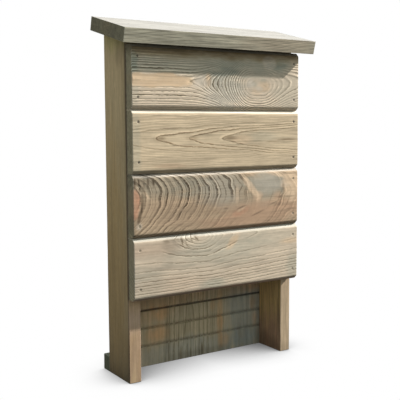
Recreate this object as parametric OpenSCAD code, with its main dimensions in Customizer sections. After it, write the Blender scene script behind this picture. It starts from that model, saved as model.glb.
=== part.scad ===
// Bat box: four boards nailed across two upright side boards, over a grooved back panel,
// under one sloping roof board. The side boards run on down to the floor as legs.
// Millimetres. +Z is up and the front faces -Y. The origin is on the floor, under the
// middle of the whole box.

/* [Body] */
// Width of the body over the outer faces of the two sides
body_w = 314; // [200:1:500]
// Height of the open entrance, from the floor to the lowest front board
entrance_h = 130; // [60:1:200]

/* [Front boards] */
// Width of one front board; the four of them cover the front
board_w = 95; // [60:1:140]
// Thickness of a front board
board_t = 19; // [12:0.5:30]
// Chamfer on the front long edges of each front board
chamfer = 5.5; // [1:0.5:8]

/* [Sides] */
// Width of a side board, from its front edge to its back edge
side_w = 70; // [45:1:120]
// Thickness of a side board
side_t = 20; // [14:0.5:30]

/* [Back panel] */
// Thickness of the back panel
panel_t = 10; // [6:0.5:18]
// How far the panel reaches into the rebate in each side
rebate_w = 9; // [4:0.5:12]
// Width of the saw grooves that bats climb on
groove_w = 3; // [1:0.5:5]
// Depth of the saw grooves
groove_depth = 3; // [1:0.5:5]
// Height of the lowest groove above the floor
groove_first = 33; // [15:1:60]
// Distance from one groove to the next
groove_pitch = 30; // [12:1:60]

/* [Roof] */
// Slope of the roof board down to the front, in degrees
roof_slope = 14.5; // [4:0.5:25]
// Thickness of the roof board
roof_t = 21; // [12:0.5:30]
// How far the roof reaches past each side
roof_side_over = 20; // [5:1:50]
// How far the roof reaches past the front boards
roof_front_over = 14; // [5:1:40]
// How far the roof reaches past the back of the sides
roof_back_over = 5; // [0:1:20]
// Gap between the top front board and the underside of the roof
top_gap = 2; // [1:0.5:10]

/* [Batten] */
// Depth of the wall batten, which holds the box off the wall
batten_t = 20; // [10:1:40]
// Height of the wall batten
batten_h = 25; // [15:1:60]

/* [Nails] */
// Diameter of a nail's shank
nail_d = 2; // [1.6:0.1:2.6]
// Diameter of a nail's head
nail_head_d = 3; // [2.8:0.1:6]
// Thickness of a nail's head
nail_head_t = 1.4; // [0.8:0.1:2]
// How deep a head is set below the face
nail_set = 0.4; // [0:0.1:1]
// Length of a nail
nail_l = 45; // [35:1:55]
// Length of the shorter nails that hold the back panel
panel_nail_l = 25; // [18:1:30]
// Distance of a nail from the long edge of a front board
nail_edge = 18; // [12:1:25]

/* [Hidden] */
$fn = 32;

LEFT = -1;
RIGHT = 1;
FRONT_BOARDS = 4;
// Reach of a cutting shape past the face that it cuts
cut_over = 1;

front_top = entrance_h + FRONT_BOARDS * board_w;
// Height of the roof's underside over the front edge of the sides
side_front_h = front_top + top_gap + board_t * tan(roof_slope);

roof_l = body_w + 2 * roof_side_over;
roof_front_y = -board_t - roof_front_over;
roof_w = (side_w + roof_back_over - roof_front_y) / cos(roof_slope);
roof_tip_y = roof_front_y - roof_t * sin(roof_slope);
batten_back_y = side_w + batten_t;
// Middle of the whole box from front to back, seen from the front edge of the sides
middle_y = (roof_tip_y + batten_back_y) / 2;

// Height of the upright boards before their tops are sawn on the slope
stock_h = roof_under(batten_back_y);

panel_w = body_w - 2 * (side_t - rebate_w);
panel_front_y = side_w - panel_t;
// The grooves stop a pitch below the roof
grooves = floor((roof_under(panel_front_y) - groove_first) / groove_pitch);

// Nails stand in the middle of a side board's thickness, or of what its rebate leaves
side_mid_x = body_w / 2 - side_t / 2;
rebate_nail_x = body_w / 2 - side_t + rebate_w / 2;
edge_nail_x = body_w / 2 - (side_t - rebate_w) / 2;
// The rear roof nails lean towards the back panel as they go down, and stop short of it
roof_nail_clear = 6;
roof_nail_back = panel_front_y - roof_nail_clear - nail_l * sin(roof_slope);
roof_nail_front = roof_nail_back / 3;
panel_nail_rows = 4;
panel_nail_first = batten_h + side_w / 2;
panel_nail_step = (side_front_h - panel_nail_first - side_w / 2) / (panel_nail_rows - 1);

// Height of the roof's underside at a distance behind the front edge of the sides
function roof_under(y) = side_front_h + y * tan(roof_slope);

// Height of the bottom edge of a front board; board 1 is the top one
function board_z(number) = entrance_h + (FRONT_BOARDS - number) * board_w;

// Moves a piece from the front edge of the sides to the origin of the box
module in_box() {
    translate([0, -middle_y, 0])
        children();
}

// Runs an outline drawn in Y and Z along X, centred on the box
module along_x(length) {
    translate([-length / 2, 0, 0])
        rotate([90, 0, 90])
            linear_extrude(length)
                children();
}

// Puts a shape on the roof board's own axes: X along it, Y up the slope, Z through it,
// starting at the middle of its lower front edge
module on_roof() {
    translate([0, roof_front_y, roof_under(roof_front_y)])
        rotate([roof_slope, 0, 0])
            children();
}

// Everything over the roof's underside, which is sawn off the sides and the back panel
module above_roof_line() {
    on_roof()
        translate([-roof_l / 2, -cut_over, 0])
            cube([roof_l, roof_w + 2 * cut_over, stock_h]);
}

// One nail with its head up, its tip at the origin's far side: the face is at Z = 0
module nail(length) {
    translate([0, 0, -nail_set - length])
        cylinder(h = length, d = nail_d);
    translate([0, 0, -nail_set - nail_head_t])
        cylinder(h = nail_head_t, d = nail_head_d);
}

// What a nail takes out of the wood: the nail and the pocket that its head is set in
module nail_hole(length) {
    nail(length);
    translate([0, 0, -nail_set])
        cylinder(h = nail_set + cut_over, d = nail_head_d);
}

// Places a shape at the two nails at one end of a front board
module at_board_nails(number, hand) {
    for (z = [nail_edge, board_w - nail_edge])
        translate([hand * side_mid_x, -board_t, board_z(number) + z])
            rotate([90, 0, 0])
                children();
}

// Places a shape at the two nails through one end of the roof, into the top of a side
module at_roof_nails(hand) {
    for (y = [roof_nail_front, roof_nail_back])
        on_roof()
            translate([hand * side_mid_x, (y - roof_front_y) / cos(roof_slope), roof_t])
                children();
}

// Places a shape at the nails that hold one edge of the panel in its rebate
module at_panel_nails(hand) {
    for (row = [0 : panel_nail_rows - 1])
        translate([hand * rebate_nail_x, side_w, panel_nail_first + row * panel_nail_step])
            rotate([-90, 0, 0])
                children();
}

// Places a shape at the two nails through one end of the batten, into a side's back edge
module at_batten_nails(hand) {
    for (z = [batten_h / 4, batten_h * 3 / 4])
        translate([hand * edge_nail_x, batten_back_y, z])
            rotate([-90, 0, 0])
                children();
}

// One side board: a leg below, sawn on the slope on top, rebated for the back panel
module side_board(hand) {
    color("#7a6b4b")
        in_box()
            difference() {
                translate([hand * side_mid_x - side_t / 2, 0, 0])
                    cube([side_t, side_w, stock_h]);
                above_roof_line();
                translate([hand * rebate_nail_x - rebate_w / 2 - (hand == RIGHT ? cut_over : 0),
                           panel_front_y, -cut_over])
                    cube([rebate_w + cut_over, panel_t + cut_over, stock_h + 2 * cut_over]);
                for (number = [1 : FRONT_BOARDS])
                    at_board_nails(number, hand)
                        nail_hole(nail_l);
                at_roof_nails(hand)
                    nail_hole(nail_l);
                at_panel_nails(hand)
                    nail_hole(panel_nail_l);
                at_batten_nails(hand)
                    nail_hole(nail_l);
            }
}

// One front board with chamfers along its two front edges
module front_board(number) {
    color("#b3a58c")
        in_box()
            difference() {
                translate([0, 0, board_z(number)])
                    along_x(body_w)
                        polygon([
                            [0, 0], [chamfer - board_t, 0], [-board_t, chamfer],
                            [-board_t, board_w - chamfer], [chamfer - board_t, board_w],
                            [0, board_w]
                        ]);
                for (hand = [LEFT, RIGHT])
                    at_board_nails(number, hand)
                        nail_hole(nail_l);
            }
}

// The roof board, square-edged, lying on the sloping tops of the sides
module roof_board() {
    color("#c9c3b0")
        in_box()
            difference() {
                on_roof()
                    translate([-roof_l / 2, 0, 0])
                        cube([roof_l, roof_w, roof_t]);
                for (hand = [LEFT, RIGHT])
                    at_roof_nails(hand)
                        nail_hole(nail_l);
            }
}

// The back panel, let into the sides, with level saw grooves across its front
module back_panel() {
    color("#5f5f4c")
        in_box()
            difference() {
                along_x(panel_w)
                    difference() {
                        translate([panel_front_y, 0])
                            square([panel_t, stock_h]);
                        for (step = [0 : grooves - 1])
                            translate([panel_front_y - cut_over,
                                       groove_first + step * groove_pitch - groove_w / 2])
                                square([groove_depth + cut_over, groove_w]);
                    }
                above_roof_line();
                for (hand = [LEFT, RIGHT])
                    at_panel_nails(hand)
                        nail_hole(panel_nail_l);
            }
}

// The wall batten, across the foot of the back
module wall_batten() {
    color("#4c4d3e")
        in_box()
            difference() {
                translate([-body_w / 2, side_w, 0])
                    cube([body_w, batten_t, batten_h]);
                for (hand = [LEFT, RIGHT])
                    at_batten_nails(hand)
                        nail_hole(nail_l);
            }
}

module board_nails(number, hand) {
    color("#4a443a")
        in_box()
            at_board_nails(number, hand)
                nail(nail_l);
}

module roof_nails(hand) {
    color("#4a443a")
        in_box()
            at_roof_nails(hand)
                nail(nail_l);
}

module panel_nails(hand) {
    color("#4a443a")
        in_box()
            at_panel_nails(hand)
                nail(panel_nail_l);
}

module batten_nails(hand) {
    color("#4a443a")
        in_box()
            at_batten_nails(hand)
                nail(nail_l);
}

side_board(LEFT);  // left_side
side_board(RIGHT);  // right_side
front_board(1);  // front_board_1
front_board(2);  // front_board_2
front_board(3);  // front_board_3
front_board(4);  // front_board_4
roof_board();
back_panel();
wall_batten();
board_nails(1, LEFT);  // board_1_left_nails
board_nails(1, RIGHT);  // board_1_right_nails
board_nails(2, LEFT);  // board_2_left_nails
board_nails(2, RIGHT);  // board_2_right_nails
board_nails(3, LEFT);  // board_3_left_nails
board_nails(3, RIGHT);  // board_3_right_nails
board_nails(4, LEFT);  // board_4_left_nails
board_nails(4, RIGHT);  // board_4_right_nails
roof_nails(LEFT);  // roof_left_nails
roof_nails(RIGHT);  // roof_right_nails
panel_nails(LEFT);  // panel_left_nails
panel_nails(RIGHT);  // panel_right_nails
batten_nails(LEFT);  // batten_left_nails
batten_nails(RIGHT);  // batten_right_nails
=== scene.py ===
"""Looks of a weathered softwood bat box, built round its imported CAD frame.

Every timber is a closed lattice surface in its own coordinates: along the fibres, across
them, and in depth behind the face that shows. A timber's lengths are in millimetres, and
MM turns them into the frame's metres when its mesh is written.
"""

import logging
import math
from dataclasses import dataclass
from dataclasses import field
from enum import Enum

import bpy
import numpy as np
from mathutils import Matrix
from mathutils import Vector


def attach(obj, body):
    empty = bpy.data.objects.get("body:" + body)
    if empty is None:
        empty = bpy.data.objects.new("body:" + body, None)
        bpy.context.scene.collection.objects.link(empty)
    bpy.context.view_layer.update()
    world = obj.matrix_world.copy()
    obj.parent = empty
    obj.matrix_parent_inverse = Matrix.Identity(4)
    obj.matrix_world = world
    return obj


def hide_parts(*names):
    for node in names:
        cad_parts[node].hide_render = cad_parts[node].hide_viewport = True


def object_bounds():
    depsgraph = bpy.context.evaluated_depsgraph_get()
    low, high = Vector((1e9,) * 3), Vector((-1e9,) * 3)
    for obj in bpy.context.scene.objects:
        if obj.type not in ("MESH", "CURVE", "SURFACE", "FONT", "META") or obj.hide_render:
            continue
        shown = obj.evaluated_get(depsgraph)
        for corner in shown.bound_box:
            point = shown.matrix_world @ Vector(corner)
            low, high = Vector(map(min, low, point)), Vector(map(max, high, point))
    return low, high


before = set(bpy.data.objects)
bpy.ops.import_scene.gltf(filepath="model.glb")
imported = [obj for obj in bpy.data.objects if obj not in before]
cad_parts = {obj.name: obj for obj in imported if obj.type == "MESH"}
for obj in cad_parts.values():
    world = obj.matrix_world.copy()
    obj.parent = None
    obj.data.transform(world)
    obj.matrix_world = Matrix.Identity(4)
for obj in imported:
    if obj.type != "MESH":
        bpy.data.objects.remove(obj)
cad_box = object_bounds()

Triple = tuple[float, float, float]
Colour = Triple
Points = tuple[tuple[float, float], ...]
Rows = tuple[tuple[float, ...], ...]
Socket = bpy.types.NodeSocket
Input = float | Triple | Socket

BODY = "root"
WHITE: Colour = (1.0, 1.0, 1.0)
MM = 0.001  # metres
SAMPLES_PER_MM = 20  # at which the density of stations is worked out
SLOPE_REACH = 0.5  # mm between the points that give the slope of the ring number
WIDEST_RING = 40.0  # mm
EDGE_WANDER = 0.22  # of a patch's reach
FAR_FROM_NAILS = 1000.0  # mm
FLAT = 0.01  # mm within which two points lie on one flat face

log = logging.getLogger("bat_box")


# ------------------------------------------------------- random fields, curves and stations


def smooth_step(low: float, high: float, value: np.ndarray) -> np.ndarray:
    """Rises from 0 at low to 1 at high as 3t^2 - 2t^3, where t is the value's share of the way."""
    share = np.clip((value - low) / (high - low), 0.0, 1.0)
    return share * share * (3.0 - 2.0 * share)


def facing(part: np.ndarray, low: float = 0.3, high: float = 0.8) -> np.ndarray:
    """1 where a face turns towards a direction, from its normal's part in that direction."""
    return smooth_step(low, high, part)


class Noise:
    """Smooth random field from -1 to 1, the same on each run."""

    SIDE = 32

    def __init__(self, seed: int) -> None:
        """Fills the table of random values from the seed."""
        self.table = np.random.default_rng(seed).uniform(-1.0, 1.0, (self.SIDE,) * 3)

    def at(self, points: np.ndarray, cell: Triple) -> np.ndarray:
        """Blends the eight table values round each point by a smooth step on each axis.

        Args:
            points: Points in millimetres, one a row.
            cell: Size of a cell of the field on each axis.

        Returns:
            One value a point.
        """
        place = points / np.asarray(cell)
        corner = np.floor(place).astype(int)
        share = smooth_step(0.0, 1.0, place - corner)
        total = np.zeros(len(points))
        for step in np.ndindex(2, 2, 2):
            index = (corner + step) % self.SIDE
            weight = np.where(step, share, 1.0 - share).prod(axis=1)
            total += weight * self.table[index[:, 0], index[:, 1], index[:, 2]]
        return total


@dataclass(frozen=True)
class Course:
    """A smooth line through a few places: (along, value) pairs, in order."""

    points: Points
    soften: float = 14.0
    taps: int = 9

    def at(self, along: np.ndarray) -> np.ndarray:
        """Mean of the straight-line value at several places within the softening reach.

        Args:
            along: Places along the timber.

        Returns:
            The line's value at each place.
        """
        places, values = np.array(self.points).T
        shifts = np.linspace(-self.soften, self.soften, self.taps)
        return np.mean([np.interp(along + shift, places, values) for shift in shifts], axis=0)


@dataclass(frozen=True)
class Dense:
    """A stretch of an edge that needs closer stations."""

    place: float
    reach: float
    spacing: float


def stations(length: float, spacing: float, dense: list[Dense]) -> np.ndarray:
    """Places along an edge, closer together where detail needs it.

    The number of stations a millimetre is 1 / spacing, or 1 / the dense spacing within
    reach of a dense place. The running sum of that density is cut into equal steps.

    Args:
        length: Length of the edge.
        spacing: Distance between stations away from detail.
        dense: Stretches that need more.

    Returns:
        The stations, from 0 to length.
    """
    samples = np.linspace(0.0, length, int(length * SAMPLES_PER_MM) + 1)
    density = np.full(len(samples), 1.0 / spacing)
    for stretch in dense:
        near = np.abs(samples - stretch.place) < stretch.reach
        density[near] = np.maximum(density[near], 1.0 / stretch.spacing)
    steps = 0.5 * (density[1:] + density[:-1]) * np.diff(samples)
    total = np.concatenate([[0.0], np.cumsum(steps)])
    count = max(2, int(round(total[-1])))
    return np.interp(np.linspace(0.0, total[-1], count + 1), total, samples)


def lattice_shell(axes: list[np.ndarray]) -> tuple[np.ndarray, np.ndarray]:
    """Closed surface of a box-shaped lattice: its six sides are grids that share their edges.

    Args:
        axes: Stations on each of the three axes.

    Returns:
        The surface points, and faces of four whose turn points outwards on right-handed axes.
    """
    shape = tuple(len(axis) for axis in axes)
    place = np.indices(shape)
    last = np.array(shape).reshape(3, 1, 1, 1) - 1
    outside = ((place == 0) | (place == last)).any(axis=0)
    number = np.full(shape, -1)
    number[outside] = np.arange(outside.sum())
    points = np.stack([axes[k][place[k][outside]] for k in range(3)], axis=1)
    faces = []
    for axis in range(3):
        for end in (0, -1):
            side = np.take(number, end, axis=axis)
            corners = [side[:-1, :-1], side[1:, :-1], side[1:, 1:], side[:-1, 1:]]
            turned = (axis == 1) == (end == -1)
            grid = np.stack(corners[::-1] if turned else corners, axis=-1)
            faces.append(grid.reshape(-1, 4))
    return points, np.concatenate(faces)


# ------------------------------------------------------------------ growth rings and marks


@dataclass(frozen=True)
class Growth:
    """How the growth rings of the log cross a timber.

    A point's ring radius is its distance from the pith: the square root of
    (across - pith_across)^2 + (pith_depth + depth)^2, plus a slow wander. Past the pith's
    line, the first distance is scaled by below.
    """

    pith_across: Course
    pith_depth: Course
    radii: tuple[float, ...]
    weights: tuple[float, ...]
    ring_width: float
    fine_weight: float
    wander: float
    wander_cell: Triple
    seed: int
    below: float = 1.0

    def phase(self, places: np.ndarray) -> np.ndarray:
        """Ring number at each point, a whole number at the end of each ring.

        Between the listed radii it runs evenly, and past them by ring_width.

        Args:
            places: (along, across, depth) of each point.

        Returns:
            The ring number of each point.
        """
        along, across, depth = places.T
        side = across - self.pith_across.at(along)
        side *= np.where(side < 0.0, 1.0, self.below)
        behind = self.pith_depth.at(along) + depth
        radius = np.hypot(side, behind)
        radius += self.wander * Noise(self.seed).at(places, self.wander_cell)
        number = np.interp(radius, self.radii, np.arange(len(self.radii)))
        number += np.maximum(radius - self.radii[-1], 0.0) / self.ring_width
        return number - np.maximum(self.radii[0] - radius, 0.0) / self.ring_width

    def spacing(self, places: np.ndarray, phase: np.ndarray) -> np.ndarray:
        """Width of a ring on the face: 1 over the slope of the ring number.

        Args:
            places: (along, across, depth) of each point.
            phase: Ring number of each point.

        Returns:
            The width at each point, at most WIDEST_RING.
        """
        slope = np.zeros(len(places))
        for axis in (0, 1):
            shift = np.zeros(3)
            shift[axis] = SLOPE_REACH
            slope += ((self.phase(places + shift) - phase) / SLOPE_REACH) ** 2
        return 1.0 / np.maximum(np.sqrt(slope), 1.0 / WIDEST_RING)

    def weight(self, phase: np.ndarray) -> np.ndarray:
        """How strongly the nearest ring's dark line shows.

        Args:
            phase: Ring number of each point.

        Returns:
            The weight of the line nearest to each point.
        """
        nearest = np.round(phase).astype(int)
        listed = (nearest >= 0) & (nearest < len(self.weights))
        own = np.take(self.weights, np.clip(nearest, 0, len(self.weights) - 1))
        return np.where(listed, own, self.fine_weight)


class Mark(Enum):
    """Kinds of mark on weathered timber, each with its attribute and channel."""

    WARM = ("stain", 0)
    GREEN = ("stain", 1)
    # darkening: real stains and dirt, and painted shade in recesses, undersides and joint gaps
    SHADE = ("stain", 2)
    BLEACH = ("wear", 0)
    CALM = ("wear", 1)
    END = ("wear", 2)
    GOLD = ("tint", 0)
    CRACK = ("tint", 1)


class Marks:
    """Amount of each mark at every point, kept as the attributes that the material reads."""

    def __init__(self, count: int) -> None:
        """Starts with no marks at so many points."""
        self.attributes = {name: np.zeros((count, 3)) for name in ("stain", "wear", "tint")}

    def of(self, mark: Mark) -> np.ndarray:
        """The amounts of one mark, which can be changed in place."""
        attribute, channel = mark.value
        return self.attributes[attribute][:, channel]

    def add(self, mark: Mark, amount: np.ndarray) -> None:
        """Adds to the amounts of one mark."""
        self.of(mark)[:] += amount

    def raise_to(self, mark: Mark, amount: np.ndarray) -> None:
        """Raises the amounts of one mark where they are less."""
        np.maximum(self.of(mark), amount, out=self.of(mark))

    def limit(self) -> None:
        """Holds every amount between 0 and 1."""
        for values in self.attributes.values():
            np.clip(values, 0.0, 1.0, out=values)


@dataclass(frozen=True)
class Patch:
    """An oval patch of one mark, with an uneven edge, on all sides but the back or only there.

    Its place and its reaches are in millimetres on the timber's own axes, its turn in degrees.
    """

    mark: Mark
    along: float
    across: float
    reach_along: float
    reach_across: float
    amount: float = 1.0
    turn: float = 0.0
    softness: float = 0.5
    on_back: bool = False

    @classmethod
    def rows(cls, table: dict[Mark, Rows]) -> "tuple[Patch, ...]":
        """Patches by their mark: each row holds a patch's values in the order of the fields."""
        return tuple(cls(mark, *row) for mark, rows in table.items() for row in rows)

    def cover(self, places: np.ndarray, uneven: np.ndarray) -> np.ndarray:
        """How much of the mark lies at each point.

        The oval distance is 1 on the patch's edge, and the mark fades out across it.

        Args:
            places: (along, across, depth) of each point.
            uneven: Random value at each point, which shifts the edge.

        Returns:
            The amount at each point.
        """
        east = places[:, 0] - self.along
        south = places[:, 1] - self.across
        angle = math.radians(self.turn)
        major = (east * math.cos(angle) + south * math.sin(angle)) / self.reach_along
        minor = (south * math.cos(angle) - east * math.sin(angle)) / self.reach_across
        distance = np.hypot(major, minor) + EDGE_WANDER * uneven
        inside = smooth_step(1.0 - self.softness, 1.0 + self.softness, distance)
        return self.amount * (1.0 - inside)


# ---------------------------------------------------------------- shader building


class Nodes:
    """Short calls that add linked nodes to one shader tree."""

    def __init__(self, tree: bpy.types.NodeTree) -> None:
        """Keeps the tree that the nodes go into."""
        self.tree = tree

    def feed(self, socket: Socket, value: Input) -> None:
        """Links a socket to another, or sets its value.

        Args:
            socket: Input socket to feed.
            value: Socket, number or colour.
        """
        if isinstance(value, Socket):
            self.tree.links.new(value, socket)
        elif socket.type == "RGBA":
            socket.default_value = (*value, 1.0)
        else:
            socket.default_value = value

    def add(self, kind: str, settings: dict[str, object] | None = None, **values: Input) -> bpy.types.Node:
        """Adds one node.

        Args:
            kind: Node type, without its ShaderNode prefix.
            settings: Properties of the node.
            values: Inputs by name, with underscores for spaces.

        Returns:
            The node.
        """
        node = self.tree.nodes.new("ShaderNode" + kind)
        for key, setting in (settings or {}).items():
            setattr(node, key, setting)
        for key, value in values.items():
            self.feed(node.inputs[key.replace("_", " ")], value)
        return node

    def math(self, operation: str, *values: Input) -> Socket:
        """One Math node.

        Args:
            operation: Name of the operation.
            values: Its operands.

        Returns:
            The result socket.
        """
        node = self.add("Math", {"operation": operation})
        for socket, value in zip(node.inputs, values):
            self.feed(socket, value)
        return node.outputs[0]

    def times(self, first: Input, second: Input) -> Socket:
        """Product of two values."""
        return self.math("MULTIPLY", first, second)

    def scaled(self, value: Input, factor: Input, added: Input) -> Socket:
        """A value times a factor, and something added."""
        return self.math("MULTIPLY_ADD", value, factor, added)

    def less(self, first: Input, second: Input) -> Socket:
        """The first value less the second."""
        return self.math("SUBTRACT", first, second)

    def limit(self, value: Input) -> Socket:
        """A value held between 0 and 1."""
        return self.math("MAXIMUM", self.math("MINIMUM", value, 1.0), 0.0)

    def ramp(self, value: Input, low: Input, high: Input) -> Socket:
        """Smooth step of a value from 0 at low to 1 at high.

        Args:
            value: Value to map.
            low: Value that gives 0.
            high: Value that gives 1.

        Returns:
            The result socket.
        """
        settings = {"interpolation_type": "SMOOTHSTEP"}
        node = self.add("MapRange", settings, Value=value, From_Min=low, From_Max=high)
        return node.outputs["Result"]

    def mix(self, factor: Input, first: Input, second: Input, blend: str = "MIX") -> Socket:
        """Mixes two colours.

        Args:
            factor: Share of the second colour.
            first: Colour at factor 0.
            second: Colour at factor 1.
            blend: Blend mode.

        Returns:
            The mixed colour's socket.
        """
        node = self.add("Mix", {"data_type": "RGBA", "blend_type": blend})
        colours = [socket for socket in node.inputs if socket.type == "RGBA"]
        self.feed(node.inputs[0], factor)
        self.feed(colours[0], first)
        self.feed(colours[1], second)
        return next(socket for socket in node.outputs if socket.type == "RGBA")

    def place(self, vector: Input, scale: Triple, shift: Triple = (0.0, 0.0, 0.0)) -> Socket:
        """Scales and shifts a position.

        Args:
            vector: Position.
            scale: Factor on each axis.
            shift: What is added on each axis.

        Returns:
            The new position's socket.
        """
        node = self.add("VectorMath", {"operation": "MULTIPLY_ADD"})
        for socket, value in zip(node.inputs, (vector, scale, shift)):
            self.feed(socket, value)
        return node.outputs[0]

    def noise(self, vector: Input, detail: float) -> Socket:
        """Noise from about 0 to 1, with one cell a unit and so many octaves added."""
        return self.add("TexNoise", None, Vector=vector, Scale=1.0, Detail=detail).outputs["Fac"]

    def split(self, vector: Input) -> tuple[Socket, ...]:
        """The X, Y and Z parts of a vector."""
        return tuple(self.add("SeparateXYZ", None, Vector=vector).outputs)

    def attribute(self, name: str) -> Socket:
        """Reads a mesh attribute as a vector."""
        return self.add("Attribute", {"attribute_name": name}).outputs["Vector"]

    def bump(self, height: Input, distance: float) -> Socket:
        """Normal of a surface whose height is in units of a distance in metres."""
        return self.add("Bump", None, Height=height, Strength=1.0, Distance=distance).outputs["Normal"]

    def group(self, tree: bpy.types.NodeTree, values: dict[str, Input]) -> bpy.types.Node:
        """Places a node group.

        Args:
            tree: The group.
            values: Its inputs by name.

        Returns:
            The group's node.
        """
        node = self.tree.nodes.new("ShaderNodeGroup")
        node.node_tree = tree
        for key, value in values.items():
            self.feed(node.inputs[key], value)
        return node


class Effect:
    """A shader node group with named inputs and outputs, built once."""

    def __init__(self, name: str, inputs: dict[str, Input | None], outputs: dict[str, str]) -> None:
        """Makes the group and its sockets.

        Args:
            name: Name of the group.
            inputs: Input names and defaults: a number, a colour, or None for a vector.
            outputs: Output names and their kinds.
        """
        self.tree = bpy.data.node_groups.new(name, "ShaderNodeTree")
        for key, default in inputs.items():
            kind = "Vector" if default is None else "Color" if isinstance(default, tuple) else "Float"
            self.socket(key, "INPUT", kind, default)
        for key, kind in outputs.items():
            self.socket(key, "OUTPUT", kind, None)
        self.nodes = Nodes(self.tree)
        self.given = self.tree.nodes.new("NodeGroupInput").outputs
        self.result = self.tree.nodes.new("NodeGroupOutput").inputs

    def socket(self, key: str, side: str, kind: str, default: Input | None) -> None:
        """Adds one socket to the group's interface.

        Args:
            key: Name of the socket.
            side: INPUT or OUTPUT.
            kind: Vector, Color or Float.
            default: Default value, or None.
        """
        socket = self.tree.interface.new_socket(key, in_out=side, socket_type="NodeSocket" + kind)
        if default is not None:
            socket.default_value = (*default, 1.0) if kind == "Color" else default

    def put(self, key: str, value: Input) -> None:
        """Links one output of the group."""
        self.nodes.feed(self.result[key], value)


# ------------------------------------------------------------------------ finishes


def new_material(name: str) -> tuple[bpy.types.Material, Nodes, bpy.types.NodeInputs]:
    """Makes a material with a Principled shader.

    Args:
        name: Name of the material.

    Returns:
        The material, its tree and the shader's inputs.
    """
    made = bpy.data.materials.new(name)
    made.use_nodes = True
    return made, Nodes(made.node_tree), made.node_tree.nodes["Principled BSDF"].inputs


@dataclass(frozen=True)
class TimberFinish:
    """Colours and grain of one weathered timber, as values of the shared timber group."""

    name: str
    slot: str
    early: Colour
    late: Colour
    warm: Colour = (0.47, 0.255, 0.155)
    gold: Colour = (0.66, 0.485, 0.32)
    green: Colour = (0.33, 0.335, 0.27)
    bleach: Colour = (0.45, 0.415, 0.355)
    end_grain: Colour = (0.24, 0.205, 0.13)
    streak: float = 0.5
    blotch: float = 0.35
    ridge: float = 0.15
    fibre: float = 0.05
    line_width: float = 2.2
    # strength of the painted highlight just past each ring line
    rim: float = 0.25
    false_rings: float = 0.0
    gloss: float = 0.2
    upright: bool = False

    def material(self, group: bpy.types.NodeTree) -> bpy.types.Material:
        """Builds the material: the timber group feeds one Principled shader.

        Args:
            group: The shared timber group.

        Returns:
            The material.
        """
        made, nodes, inputs = new_material(self.name)
        inputs["Specular IOR Level"].default_value = self.gloss
        values = {name.title(): nodes.attribute(name) for name in ("figure", "stain", "wear", "tint")}
        values |= {
            "Fibre": self.fibres(nodes),
            "Early Wood": self.early,
            "Late Wood": self.late,
            "Gold Tint": self.gold,
            "Warm Tint": self.warm,
            "Green Tint": self.green,
            "Bleached": self.bleach,
            "End Grain": self.end_grain,
            "Streak": self.streak,
            "Blotch": self.blotch,
            "Ridge": self.ridge,
            "Fibre Relief": self.fibre,
            "Line Width": self.line_width,
            "Rim": self.rim,
            "False Rings": self.false_rings,
        }
        timber = nodes.group(group, values).outputs
        nodes.feed(inputs["Base Color"], timber["Color"])
        nodes.feed(inputs["Roughness"], timber["Roughness"])
        nodes.feed(inputs["Normal"], nodes.bump(timber["Height"], MM))
        return made

    def fibres(self, nodes: Nodes) -> Socket:
        """Position in millimetres with X along the fibres.

        Args:
            nodes: Tree of the material.

        Returns:
            The position's socket.
        """
        position = nodes.add("TexCoord").outputs["Object"]
        if self.upright:
            x, y, z = nodes.split(position)
            position = nodes.add("CombineXYZ", None, X=z, Y=x, Z=y).outputs["Vector"]
        return nodes.place(position, (1.0 / MM,) * 3)


@dataclass(frozen=True)
class SteelFinish:
    """Dull zinc on a nail, gone brown in patches."""

    name: str = "dull_zinc"
    zinc: Colour = (0.150, 0.130, 0.105)
    brown: Colour = (0.085, 0.060, 0.040)
    shine: float = 0.5
    dulling: float = 0.8
    smooth: float = 0.5
    roughening: float = 0.3
    cell: float = 1.2
    pitting: float = 0.1
    rust_starts: float = 0.38
    rust_full: float = 0.62

    def material(self) -> bpy.types.Material:
        """Builds the material.

        Returns:
            The material.
        """
        made, nodes, inputs = new_material(self.name)
        cells = 1.0 / (self.cell * MM)
        cloud = nodes.noise(nodes.place(nodes.add("TexCoord").outputs["Object"], (cells,) * 3), 3.0)
        rust = nodes.ramp(cloud, self.rust_starts, self.rust_full)
        nodes.feed(inputs["Base Color"], nodes.mix(rust, self.zinc, self.brown))
        nodes.feed(inputs["Roughness"], nodes.scaled(rust, self.roughening, self.smooth))
        nodes.feed(inputs["Metallic"], nodes.scaled(rust, -self.dulling * self.shine, self.shine))
        nodes.feed(inputs["Normal"], nodes.bump(cloud, self.pitting * MM))
        return made


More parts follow.
